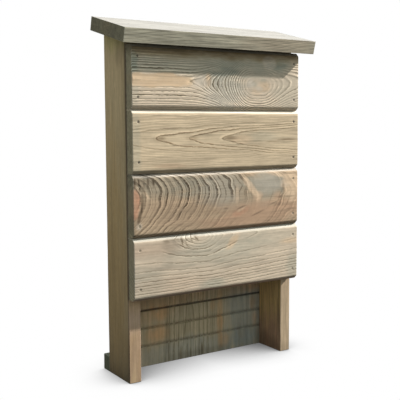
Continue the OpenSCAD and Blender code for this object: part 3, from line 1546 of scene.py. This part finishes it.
@dataclass
class Front:
    """The four front boards, each sawn from its own part of the log.

    Places on a board are measured from its left end and its top edge.
    """

    def finish(self, number: int, early: Colour, late: Colour, **grain: float) -> TimberFinish:
        """A front board's finish, by the board's number from the top."""
        return TimberFinish(f"front_timber_{number}", "front_timber", early, late, **grain)

    def board(self, number: int, growth: Growth, finish: TimberFinish, patches: tuple[Patch, ...],
              **more: float) -> FrontBoard:
        """A front board, by its number from the top, with the nails at both its ends."""
        nails = tuple(f"board_{number}_{hand}_nails" for hand in ("left", "right"))
        return FrontBoard(f"front_board_{number}", growth, finish, patches, nails, seed=number, **more)

    def eye_board(self) -> FrontBoard:
        """Board 1: the pith rises to the face right of the middle, in a large oval eye.

        Returns:
            The board.
        """
        growth = Growth(
            pith_across=Course(((0, 52), (110, 52), (225, 54), (262, 53), (314, 46))),
            pith_depth=Course(
                ((0, 47.2), (102, 47.2), (108, 47.0), (114, 46.8), (122, 46.4), (130, 45.7), (140, 44.5),
                 (150, 43.2), (160, 40.6), (172, 35.8), (180, 31), (190, 24.5), (202, 14.5), (215, 5),
                 (228, 1), (240, 3), (252, 10), (262, 16), (275, 21), (290, 25), (314, 28)),
                soften=4.0,
            ),
            radii=(0, 5.6, 11.2, 15.3, 19.5, 22.6, 26, 29.2, 31.9, 34.2, 36.8, 39.2, 41.3, 43.2, 44.6,
                   45.6, 46.4, 47.15, 48.05, 49.2, 50.9, 52.7, 54.3, 55.8, 57.2),
            weights=(0, 0, 0.3, 0.5, 0.7, 1.0, 1.2, 1.4, 1.2, 1.4, 1.2, 1.6, 0.8, 1.6, 1.2,
                     1.1, 1.5, 1.1, 0.7, 1.2, 1.1, 1.1, 1.1, 1, 0.9),
            below=0.85,
            ring_width=2.8,
            fine_weight=0.7,
            wander=0.2,
            wander_cell=(34.0, 12.0, 12.0),
            seed=11,
        )
        patches = Patch.rows({
            Mark.GOLD: (
                (44, 51.5, 66, 10.5, 0.95, 0, 0.2), (133, 50, 5, 10, 0.9), (242, 57, 12, 7, 0.6),
                (226, 66, 10, 5, 0.35), (252, 18, 13, 12, 0.3, 0, 0.2),
            ),
            Mark.CALM: (
                (45, 50, 62, 11, 0.9, 0, 0.3), (121, 52, 15, 9, 0.85), (235, 52, 32, 14, 0.5),
                (275, 45, 16, 10, 0.8), (290, 62, 34, 36, 0.62), (200, 16, 130, 26, 0.8),
            ),
            # second row: olive-brown moss tint on the top strip, under the roof
            Mark.WARM: ((98, 52, 7, 5, 0.55), (157, 0, 400, 13, 1.0, 0, 0.8)),
            Mark.CRACK: (
                (110, 46.5, 8, 1.4, 0.35, -28), (137, 51, 1.6, 9, 0.3), (146, 62, 8, 2.4, 0.4, 40),
                (243, 55, 4, 1.2, 0.25, 20), (219, 50, 4, 1.0, 0.2, -30), (150, 55, 2.2, 9, 0.35, -4),
                # last row: darkens the top strip under the roof, partly painted shade, partly moss
                (164, 54, 1.8, 9, 0.3, -4), (157, 0, 400, 11, 0.45, 0, 0.9),
            ),
            Mark.BLEACH: (
                (117, 52, 13, 8, 0.35), (214, 52, 7, 6, 0.4), (232, 60, 6, 4, 0.35),
                (252, 18, 12, 11, 0.4, 0, 0.3), (162, 68, 40, 26, 0.4),
            ),
            Mark.GREEN: (
                (288, 66, 30, 24, 0.3), (222, 53, 5, 4, 0.4), (240, 48, 5, 4, 0.35),
                (205, 24, 85, 18, 0.2), (90, 20, 190, 24, 0.5), (278, 18, 20, 16, 0.5),
                (166, 54, 32, 26, 0.45), (5, 50, 7, 48, 0.3), (2, 26, 6, 18, 0.35),
            ),
            Mark.SHADE: (
                # first row: painted shade on the top strip, tucked under the roof
                (157, 2, 400, 10, 0.65, 0, 0.9), (170, 26, 90, 16, 0.03), (205, 62, 66, 34, 0.1),
                (160, 64, 44, 32, 0.15), (45, 78, 85, 20, 0.13),
            ),
        })
        finish = self.finish(
            1, (0.615, 0.505, 0.385), (0.125, 0.098, 0.050), warm=(0.42, 0.28, 0.12),
            bleach=(0.62, 0.575, 0.50), line_width=4.2, ridge=0.24, streak=0.7, rim=0.75,
        )
        return self.board(1, growth, finish, patches, relief=0.28, grime=0.4)

    def tongue_board(self) -> FrontBoard:
        """Board 2: long slender tongues that open to the right, with calm wood round them.

        Returns:
            The board.
        """
        growth = Growth(
            pith_across=Course(((0, 43), (60, 43.5), (100, 45), (125, 43), (200, 43), (260, 46), (314, 45))),
            pith_depth=Course(
                ((-20, 42.6), (0, 41.5), (40, 39.7), (97, 38), (165, 36), (250, 32.5), (314, 30)),
                soften=8.0,
            ),
            radii=(31.0, 33.8, 36, 38, 39.7, 42.4, 43.9, 45.6),
            weights=(0.0, 0.1, 0.95, 0.85, 0.9, 0.6, 0.3, 0.3),
            ring_width=2.4,
            fine_weight=0.3,
            wander=0.5,
            wander_cell=(26.0, 8.0, 10.0),
            seed=22,
        )
        patches = Patch.rows({
            Mark.GOLD: ((200, 45, 18, 6, 0.55),),
            Mark.GREEN: ((238, 42, 32, 8, 0.3), (6, 47, 7, 60, 0.34)),
            Mark.WARM: ((68, 84, 26, 4, 0.25),),
            Mark.CRACK: (
                (47, 43, 9, 3.6, 0.55, 0, 0.8), (105, 43, 9, 3.4, 0.5, 0, 0.8),
                (173, 43, 10, 3.2, 0.6, 0, 0.8), (290, 47, 22, 1.1, 0.65), (258, 50, 14, 1.0, 0.5),
            ),
            Mark.SHADE: ((95, 68, 40, 24, 0.08), (220, 68, 34, 24, 0.07)),
        })
        finish = self.finish(
            2, (0.590, 0.468, 0.320), (0.225, 0.150, 0.080), bleach=(0.73, 0.67, 0.57), line_width=3.4,
            ridge=0.13, streak=1.1, blotch=0.5,
        )
        return self.board(2, growth, finish, patches, relief=0.12)

    def wave_board(self) -> FrontBoard:
        """Board 3: strongly weathered arcs round a centre beyond the left end.

        Returns:
            The board.
        """
        growth = Growth(
            pith_across=Course(
                ((0, 36), (30, 32), (60, 28), (110, 31), (150, 32), (180, 33), (210, 37), (314, 40))
            ),
            pith_depth=Course(
                ((-20, 2), (0, 12), (15, 25), (33, 38), (50, 47), (60, 51.6), (72, 56.6), (85, 61.5),
                 (98, 66.1), (118, 72.6), (135, 77.7), (152, 82.5), (180, 89.8), (212, 97.5),
                 (230, 101.5), (285, 113.1), (314, 118.7)),
                soften=4.0,
            ),
            radii=(22.5, 30, 36, 47, 51.6, 56.6, 61.5, 66.1, 72.6, 77.7, 82.5, 89.8, 97.5, 101.5, 113.1),
            weights=(1.0, 0.6, 0.6, 0.9, 1.0, 0.6, 1.0, 1.0, 1.0, 0.95, 1.0, 1.0, 0.8, 0.3, 0.6),
            below=0.78,
            ring_width=5.0,
            fine_weight=0.35,
            wander=1.1,
            wander_cell=(22.0, 12.0, 12.0),
            seed=33,
        )
        patches = Patch.rows({
            Mark.WARM: (
                (0, 42, 11, 24, 1.0, 0, 0.2), (230, 44, 8, 7, 0.35), (240, 72, 95, 22, 0.42, -6),
                (195, 66, 16, 5, 0.4, -16), (90, 62, 80, 24, 0.12), (270, 44, 9, 8, 0.25, 0, 0.7),
            ),
            Mark.CALM: (
                (0, 42, 10, 20, 0.9), (175, 72, 85, 24, 0.55), (40, 76, 70, 26, 0.3),
                (210, 60, 50, 22, 0.4), (245, 24, 38, 17, 0.8), (302, 30, 20, 22, 0.6),
            ),
            Mark.SHADE: (
                (90, 72, 50, 24, 0.06), (18, 1, 28, 5, 0.4), (15, 12, 24, 12, 0.2),
                (70, 30, 90, 40, 0.16, 0, 0.9), (200, 70, 80, 24, 0.12), (1, 77, 4.5, 16, 0.3),
            ),
            Mark.GREEN: (
                (18, 1, 30, 5, 0.8), (280, 30, 4, 14, 0.6), (60, 14, 70, 20, 0.7), (150, 24, 60, 22, 0.8),
                (250, 26, 36, 21, 1.0, 6, 0.45), (0, 40, 2, 60, 0.35), (245, 51, 15, 11, 0.5, -30, 0.7),
                (203, 53, 22, 8, 0.4, -12, 0.7), (168, 55, 16, 9, 0.35, -10, 0.7),
            ),
            Mark.GOLD: (
                (196, 62.5, 9, 2.4, 0.5, -25), (264, 56, 9, 2.4, 0.4, -25), (22, 31, 8, 2, 0.7, 45),
                (215, 28, 21, 5.5, 1.0, 47, 0.3), (230, 44, 8, 7, 0.5), (188, 38, 3.5, 14, 0.5),
                (302, 30, 20, 23, 1.0, 0, 0.25), (275, 10, 26, 3.5, 0.9, 10, 0.3), (1, 38, 4, 18, 0.15),
            ),
            Mark.CRACK: (
                (282, 31, 1.5, 8, 0.2), (297, 9, 17, 1.1, 0.35), (299, 47, 15, 1.1, 0.3),
                (296, 38, 14, 0.9, 0.15), (298, 61, 16, 1.0, 0.2), (300, 70, 14, 0.8, 0.15),
                (14.5, 42, 2.6, 14, 0.75), (10, 64, 2.8, 13, 0.75, 16), (3, 12, 1.9, 9, 1.0),
                (10, 15, 1.9, 10, 1.0, -8), (18, 13, 1.5, 8, 0.6), (25, 12, 1.8, 9, 0.9),
                (34, 12, 2.4, 7, 0.9, -8), (284, 33, 2.5, 8, 0.35, -10), (276, 47, 5, 2.2, 0.5, -10),
                (196, 60, 10, 1.4, 0.6, -16), (230, 71, 12, 1.3, 0.5, -18), (264, 56, 9, 1.6, 0.6, -18),
                (301, 68, 10, 1.1, 0.5), (166, 60, 4, 1.4, 0.5), (178, 34, 1.6, 5, 0.5),
            ),
            Mark.BLEACH: (
                (251, 22, 32, 15, 0.45, 6, 0.6), (155, 24, 42, 24, 0.25), (9, 77, 5, 6, 0.45),
                (0, 14, 2, 14, 0.25),
            ),
        })
        finish = self.finish(
            3, (0.470, 0.350, 0.235), (0.115, 0.080, 0.048), green=(0.350, 0.310, 0.235),
            warm=(0.53, 0.290, 0.185), gold=(0.740, 0.545, 0.370), bleach=(0.560, 0.505, 0.430),
            line_width=4.6, ridge=0.2, blotch=0.5, streak=0.65, rim=0.35, false_rings=0.85,
        )
        return self.board(3, growth, finish, patches, relief=0.16, grime=0.68, nail_stain=0.1)

    def cup_board(self) -> FrontBoard:
        """Board 4: the pith lies above its top edge, so its rings hang down like cups.

        Returns:
            The board.
        """
        growth = Growth(
            pith_across=Course(
                ((0, 2.5), (30, 3.3), (45, 3.8), (60, 1), (70, 0), (83, -2.5), (97, -5.8), (108, -7.5),
                 (118, -7.5), (130, -6), (140, -4), (150, -2), (160, -1), (190, 1.8), (213, 3), (314, 2)),
                soften=4.0,
            ),
            pith_depth=Course(
                ((0, 39), (30, 40), (45, 40.5), (60, 35), (70, 32), (83, 26), (97, 17), (108, 8), (118, 1.5),
                 (130, 12), (140, 21), (150, 28), (160, 32), (190, 40.9), (213, 42.5), (260, 46), (314, 49)),
                soften=4.0,
            ),
            radii=(15, 20, 25, 29, 33.3, 38.5, 44, 54, 63, 69.5, 75.5, 80, 83.5, 87, 91),
            weights=(0.5, 1.0, 1.0, 0.5, 1.0, 0.3, 0.8, 0.5, 0.5, 0.6, 0.7, 0.7, 0.8, 0.7, 0.7),
            ring_width=5.0,
            fine_weight=0.45,
            wander=0.5,
            wander_cell=(80.0, 12.0, 12.0),
            seed=44,
        )
        patches = Patch.rows({
            Mark.GREEN: (
                (157, 30, 90, 24, 0.45), (16, 72, 36, 26, 0.35), (140, 84, 22, 8, 0.6),
                (305, 70, 14, 26, 0.5), (157, 1, 400, 6, 0.3, 0, 0.3), (255, 14, 45, 14, 0.2),
            ),
            Mark.GOLD: ((180, 18, 15, 6, 0.75, -42), (300, 28, 20, 5, 0.6)),
            Mark.CALM: (
                (250, 20, 62, 15, 0.75), (20, 20, 32, 18, 0.9), (146, 8, 36, 13, 0.8),
                (44, 9, 9, 12, 1.0), (68, 14, 17, 8, 0.9, 35), (196, 9, 12, 12, 1.0),
            ),
            Mark.SHADE: ((-10, 25, 75, 45, 0.1), (130, 72, 140, 26, 0.12), (68, 13, 20, 12, 0.22)),
            Mark.WARM: ((157, 97, 400, 6, 0.9), (60, 76, 60, 14, 0.12), (20, 18, 60, 12, 0.2)),
            Mark.CRACK: (
                (96, 20, 9, 1.3, 0.45, 38), (84, 12, 1.8, 8, 0.8, -12), (91, 14, 1.4, 5, 0.7, -30),
                (101, 10, 1.3, 5, 0.6, -20), (110, 8, 7, 1.6, 0.9, 48), (56, 8, 6, 2.2, 0.5, 8),
                (71, 6.5, 10, 1.6, 0.35), (176, 72, 18, 0.9, 0.35, -10),
            ),
        })
        finish = self.finish(
            4, (0.610, 0.500, 0.380), (0.180, 0.135, 0.080), bleach=(0.50, 0.475, 0.41), line_width=2.8,
            ridge=0.16, streak=0.8, rim=0.5,
        )
        return self.board(4, growth, finish, patches, relief=0.14, nail_stain=0.1)

    def build(self, group: bpy.types.NodeTree) -> None:
        """Builds the four boards."""
        for board in (self.eye_board(), self.tongue_board(), self.wave_board(), self.cup_board()):
            board.build(group)


def straight_growth(centre: float, depth: float, width: float, seed: int, weight: float) -> Growth:
    """Growth of plainly sawn wood, whose pith drifts a few millimetres over its length.

    Args:
        centre: Where the pith starts, across the timber.
        depth: How far behind the face it starts.
        width: Width of a ring.
        seed: Seed of the wander.
        weight: How strongly the lines show.

    Returns:
        The growth.
    """
    end = 600.0
    end_centre = centre + 6.0
    end_depth = depth + 5.0
    return Growth(
        pith_across=Course(((0, centre), (end, end_centre))),
        pith_depth=Course(((0, depth), (end, end_depth))),
        radii=(depth, depth + width),
        weights=(weight, weight),
        ring_width=width,
        fine_weight=weight,
        wander=0.4 * width,
        wander_cell=(70.0, 12.0, 12.0),
        seed=seed,
    )


@dataclass
class Uprights:
    """The two side boards, which are also the legs.

    Places on a side are measured from the floor and from its front edge.
    """

    def left(self) -> SideBoard:
        """The left side: olive brown outside, salmon brown on the leg's front edge.

        Returns:
            The board.
        """
        finish = TimberFinish(
            "left_side_timber", "side_timber", (0.530, 0.395, 0.230), (0.345, 0.245, 0.130),
            warm=(0.42, 0.280, 0.185), gold=(0.530, 0.360, 0.175), green=(0.42, 0.37, 0.14),
            bleach=(0.52, 0.385, 0.32), blotch=0.35, ridge=0.05, streak=0.5, upright=True,
        )
        patches = Patch.rows({
            Mark.WARM: ((60, -4, 120, 6, 0.9, 0, 0.2),),
            Mark.SHADE: (
                (22, -4, 60, 6, 0.22), (470, 0, 80, 17, 0.24, 0, 0.7), (360, 0, 60, 11, 0.16, 0, 0.7),
                # (503, 18, ...): painted shade just under the roof's edge, where the top is also cracked
                (503, 18, 22, 14, 0.24),
            ),
            Mark.BLEACH: ((97, -4, 20, 6, 0.4),),
            Mark.GOLD: ((150, 46, 190, 38, 0.9),),
            Mark.GREEN: ((530, 24, 26, 50, 0.6),),
            Mark.CRACK: ((470, 10, 34, 1.8, 0.35, 3), (495, 17, 22, 1.2, 0.25, 4)),
        })
        growth = straight_growth(30.0, 46.0, 3.4, 55, 0.4)
        return SideBoard(
            "left_side", growth, finish, patches, outer_x="+X", seed=5, relief=0.06, edge_bleach=0.7
        )

    def right(self) -> SideBoard:
        """The right side: beige on the leg's front edge, dark brown inside, with painted shade there.

        Returns:
            The board.
        """
        finish = TimberFinish(
            "right_side_timber", "side_timber", (0.495, 0.375, 0.250), (0.270, 0.195, 0.110),
            gold=(0.745, 0.510, 0.215), blotch=0.5, streak=0.9, ridge=0.06, upright=True,
        )
        growth = straight_growth(40.0, 40.0, 3.2, 66, 0.45)
        patches = (
            Patch(Mark.SHADE, 2, -4, 16, 6, 0.35),
            Patch(Mark.GOLD, 118, 35, 62, 70, 0.8, on_back=True),
            Patch(Mark.CRACK, 85, 5, 60, 3.5, 0.4, on_back=True),
            Patch(Mark.CRACK, 105, 22, 25, 1.5, 0.3, turn=5, on_back=True),
            Patch(Mark.SHADE, 0, 42, 22, 50, 0.35, on_back=True),
        )
        return SideBoard("right_side", growth, finish, patches, outer_x="-X", seed=6, relief=0.08)

    def build(self, group: bpy.types.NodeTree) -> None:
        """Builds both side boards."""
        self.left().build(group)
        self.right().build(group)


@dataclass
class Roof:
    """The roof board, bleached on top."""

    def build(self, group: bpy.types.NodeTree) -> None:
        """Builds the roof board.

        Args:
            group: The shared timber group.
        """
        finish = TimberFinish(
            "roof_timber_weathered", "roof_timber", (0.600, 0.535, 0.410), (0.270, 0.220, 0.150),
            bleach=(0.348, 0.339, 0.320), end_grain=(0.125, 0.108, 0.065), ridge=0.12,
            streak=1.6, blotch=0.7, line_width=3.0,
        )
        growth = Growth(
            pith_across=Course(((0, 40), (354, 60))),
            pith_depth=Course(((0, 26), (120, 34), (240, 30), (354, 42)), soften=30.0),
            radii=(30, 33),
            weights=(0.5, 0.5),
            ring_width=3.2,
            fine_weight=0.45,
            wander=1.2,
            wander_cell=(60.0, 10.0, 9.0),
            seed=77,
        )
        patches = Patch.rows({
            Mark.GREEN: ((60, -2, 90, 8, 0.18), (0, 12, 3, 12, 0.35)),
            Mark.SHADE: (
                # (262, 117, ...) and (353.5, 70, ...): painted shade on the back and right arrises of the
                # top
                (262, 117, 120, 1.6, 0.7), (353.5, 70, 1.8, 55, 0.4), (0, 96, 3, 16, 0.22),
                (0, 34, 3, 10, 0.2), (66, -2, 16, 7, 0.12, 6), (120, -2, 12, 7, 0.1),
            ),
            Mark.WARM: ((0, 58, 3, 13, 0.35), (290, -2, 70, 8, 0.2)),
        })
        nails = ("roof_left_nails", "roof_right_nails")
        board = RoofBoard("roof_board", growth, finish, patches, nails, relief=0.15, arris=0.35, seed=7)
        board.build(group)


@dataclass
class Back:
    """The grooved back panel and the wall batten."""

    def panel(self) -> BackPanel:
        """The panel: grey-green with brown streaks.

        Returns:
            The panel.
        """
        finish = TimberFinish(
            "panel_timber_weathered", "panel_timber", (0.505, 0.410, 0.265), (0.220, 0.165, 0.100),
            warm=(0.660, 0.410, 0.215), green=(0.375, 0.390, 0.355),
            streak=1.1, blotch=0.9, ridge=0.12, line_width=3.8, upright=True,
        )
        growth = Growth(
            pith_across=Course(((0, 133), (540, 140)), soften=30.0),
            pith_depth=Course(((0, 60), (540, 66))),
            radii=(60.4, 61.6, 64.2, 67.8, 72.5, 78, 84.5, 92),
            weights=(0.3, 0.45, 0.45, 0.5, 0.4, 0.3, 0.2, 0.2),
            ring_width=8.0,
            fine_weight=0.3,
            wander=0.5,
            wander_cell=(60.0, 9.0, 9.0),
            seed=88,
        )
        patches = Patch.rows({
            Mark.WARM: (
                (84, 62, 14, 36, 0.45, 0, 0.7), (83, 78, 9, 12, 0.65, 0, 0.7),
                (50, 72, 13, 18, 0.95, 0, 0.7), (62, 197, 45, 6, 0.7), (52, 198, 9, 7, 0.6),
                (84, 182, 9, 6, 0.5), (20, 206, 11, 12, 0.55), (112, 60, 18, 130, 0.6),
                (116, 270, 16, 34, 0.5), (106, 240, 11, 46, 0.35), (78, 268, 13, 7, 0.4),
                (48, 272, 14, 5, 0.35),
            ),
            Mark.GREEN: ((60, 255, 80, 44, 0.7), (12, 130, 22, 130, 0.5)),
            Mark.SHADE: (
                # (112, 138, ...): painted shade under the front boards
                (78, 268, 13, 7, 0.2), (112, 138, 20, 400, 0.25, 0, 0.8), (14, 258, 34, 60, 0.2),
                (60, 284, 90, 10, 0.3), (4, 150, 8, 60, 0.35),
            ),
            Mark.CALM: ((60, 60, 120, 26, 0.9), (60, 240, 120, 50, 0.9)),
            Mark.CRACK: (
                (8, 117, 13, 2.2, 0.7), (8, 160, 12, 2.2, 0.7), (6, 137, 9, 1.6, 0.6),
                (5, 95, 9, 1.6, 0.5),
            ),
        })
        nails = ("panel_left_nails", "panel_right_nails")
        return BackPanel(
            "back_panel", growth, finish, patches, nails, nailed_from_back=True, arris=0.8, seed=8
        )

    def batten(self) -> WallBatten:
        """The batten: damp and dark.

        Returns:
            The batten.
        """
        finish = TimberFinish(
            "batten_timber_weathered", "batten_timber", (0.16, 0.165, 0.125), (0.09, 0.085, 0.06),
            end_grain=(0.072, 0.073, 0.045), bleach=(0.30, 0.31, 0.28), ridge=0.12,
        )
        growth = straight_growth(12.0, 20.0, 3.0, 99, 0.5)
        nails = ("batten_left_nails", "batten_right_nails")
        return WallBatten("wall_batten", growth, finish, (), nails, relief=0.15, seed=9)

    def build(self, group: bpy.types.NodeTree) -> None:
        """Builds the panel and the batten."""
        self.panel().build(group)
        self.batten().build(group)


@dataclass
class Nails:
    """The nails, which stay the CAD's own solids and get a steel finish."""

    def build(self) -> None:
        """Gives every nail node a steel material, paler on the two lower boards."""
        dark = SteelFinish().material()
        pale = SteelFinish("pale_zinc", (0.34, 0.28, 0.20), (0.25, 0.20, 0.14), shine=0.1).material()
        names = [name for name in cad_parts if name.endswith("_nails")]
        for name in names:
            lower = name.startswith(("board_3", "board_4"))
            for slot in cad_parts[name].material_slots:
                slot.material = pale if lower else dark
        log.info("nails: %d nodes dressed", len(names))


# --------------------------------------------------------------------------- studio


@dataclass
class Studio:
    """A plain pale floor, a white room, one warm key lamp and the camera."""

    sky: Colour = (0.55, 0.60, 0.58)
    key_colour: Colour = (1.0, 0.965, 0.93)
    key_strength: float = 7.6
    key_spread: float = 1.6  # degrees
    key_towards: Triple = (3.67, -1.0, 2.85)  # direction of the lamp from the box
    floor_size: float = 8.0  # metres
    floor_grey: float = 0.3
    shadow_samples: int = 32
    shadow_reach: float = 0.14  # metres
    shadow_from: float = -0.13  # open share of the room that would give black
    shadow_to: float = 0.92  # open share that gives white
    shadow_power: float = 1.7
    yaw: float = 33.093  # degrees that the camera looks right of straight on
    pitch: float = 5.784  # degrees that it looks down
    roll: float = -0.266  # degrees
    distance: float = 1.19948  # metres
    aim_right: float = -0.009373  # metres from the upright axis
    aim_up: float = -0.007698  # metres from half the height
    lens: float = 66.223  # mm
    sensor: float = 36.0  # mm

    def split_rays(self, nodes: Nodes, real: bpy.types.Node, seen: bpy.types.Node, output: str) -> None:
        """Gives one shader to the light, and another to the rays that should see the backdrop.

        Those are the camera's, and the ones off a gloss or through glass.

        Args:
            nodes: Tree of the material or the world.
            real: Shader for the light.
            seen: Shader for the backdrop.
            output: Kind of the tree's output node.
        """
        path = nodes.add("LightPath").outputs
        shown = nodes.math("MAXIMUM", path["Is Camera Ray"], path["Is Glossy Ray"])
        shown = nodes.math("MAXIMUM", shown, path["Is Transmission Ray"])
        mixed = nodes.add("MixShader")
        for socket, value in zip(mixed.inputs, (shown, real.outputs[0], seen.outputs[0])):
            nodes.feed(socket, value)
        nodes.feed(nodes.add(output).inputs["Surface"], mixed.outputs[0])

    def world(self) -> None:
        """Fills the room with even, slightly cool light in front of a white backdrop."""
        world = bpy.data.worlds.new("white_room")
        world.use_nodes = True
        world.node_tree.nodes.clear()
        bpy.context.scene.world = world
        nodes = Nodes(world.node_tree)
        lit = nodes.add("Background", None, Color=self.sky, Strength=1.0)
        white = nodes.add("Background", None, Color=WHITE, Strength=1.0)
        self.split_rays(nodes, lit, white, "OutputWorld")

    def floor(self) -> bpy.types.Object:
        """Lays the floor: a flat sheet under the box, white where no shadow falls.

        Returns:
            The floor.
        """
        half = self.floor_size / 2.0
        corners = [(-half, -half, 0.0), (half, -half, 0.0), (half, half, 0.0), (-half, half, 0.0)]
        mesh = bpy.data.meshes.new("floor")
        mesh.from_pydata(corners, [], [(0, 1, 2, 3)])
        floor = bpy.data.objects.new("floor", mesh)
        bpy.context.scene.collection.objects.link(floor)
        mesh.materials.append(self.floor_material())
        return floor

    def floor_material(self) -> bpy.types.Material:
        """Matt grey to the light, and white to the camera but for the object's soft shadow.

        The shadow follows how much of the room a place on the floor sees within a short
        reach: nothing near gives white.

        Returns:
            The material.
        """
        made = bpy.data.materials.new("white_floor")
        made.use_nodes = True
        made.node_tree.nodes.clear()
        nodes = Nodes(made.node_tree)
        plain = nodes.add("BsdfDiffuse", None, Color=(self.floor_grey,) * 3)
        samples = {"samples": self.shadow_samples}
        open_room = nodes.add("AmbientOcclusion", samples, Distance=self.shadow_reach).outputs["AO"]
        level = nodes.ramp(open_room, self.shadow_from, self.shadow_to)
        level = nodes.math("POWER", level, self.shadow_power)
        seen = nodes.add("Emission", None, Color=WHITE, Strength=level)
        self.split_rays(nodes, plain, seen, "OutputMaterial")
        return made

    def key(self, floor: bpy.types.Object) -> None:
        """Hangs the key lamp, right of the front, which lights the box but not the floor.

        Args:
            floor: The floor, which the lamp leaves out.
        """
        lamp = bpy.data.lights.new("key", "SUN")
        lamp.energy = self.key_strength
        lamp.color = self.key_colour
        lamp.angle = math.radians(self.key_spread)
        key = bpy.data.objects.new("key", lamp)
        key.rotation_euler = Vector(self.key_towards).to_track_quat("Z", "Y").to_euler()
        bpy.context.scene.collection.objects.link(key)
        unlit = bpy.data.collections.new("not_lit_by_key")
        unlit.objects.link(floor)
        unlit.collection_objects[0].light_linking.link_state = "EXCLUDE"
        key.light_linking.receiver_collection = unlit

    def camera(self) -> None:
        """Stands the camera left of the front, slightly above the middle of the box."""
        yaw = math.radians(self.yaw)
        pitch = math.radians(self.pitch)
        roll = math.radians(self.roll)
        level = Vector((math.cos(yaw), -math.sin(yaw), 0.0))
        east = math.sin(yaw) * math.cos(pitch)
        north = math.cos(yaw) * math.cos(pitch)
        forward = Vector((east, north, -math.sin(pitch)))
        upright = level.cross(forward)
        right = math.cos(roll) * level + math.sin(roll) * upright
        up = math.cos(roll) * upright - math.sin(roll) * level
        centre = (cad_box[0] + cad_box[1]) / 2.0
        centre.x = 0.0
        centre.y = 0.0
        eye = centre + self.aim_right * level + self.aim_up * upright - self.distance * forward
        view = bpy.data.cameras.new("camera")
        view.lens = self.lens
        view.sensor_width = self.sensor
        camera = bpy.data.objects.new("camera", view)
        turn = Matrix((right, up, -forward)).transposed().to_4x4()
        camera.matrix_world = Matrix.Translation(eye) @ turn
        bpy.context.scene.collection.objects.link(camera)
        bpy.context.scene.camera = camera

    def build(self) -> None:
        """Sets up the view, the room, the floor, the lamp and the camera."""
        bpy.context.scene.view_settings.view_transform = "Standard"
        self.camera()
        self.world()
        self.key(self.floor())


def main() -> None:
    """Builds the studio, then every sub-assembly of the box."""
    logging.basicConfig(level=logging.INFO, format="%(name)s: %(message)s")
    Studio().build()
    group = WeatheredTimber(RingLines().tree, FibreStreaks().tree).tree
    Front().build(group)
    Uprights().build(group)
    Roof().build(group)
    Back().build(group)
    Nails().build()


if __name__ == "__main__":
    main()
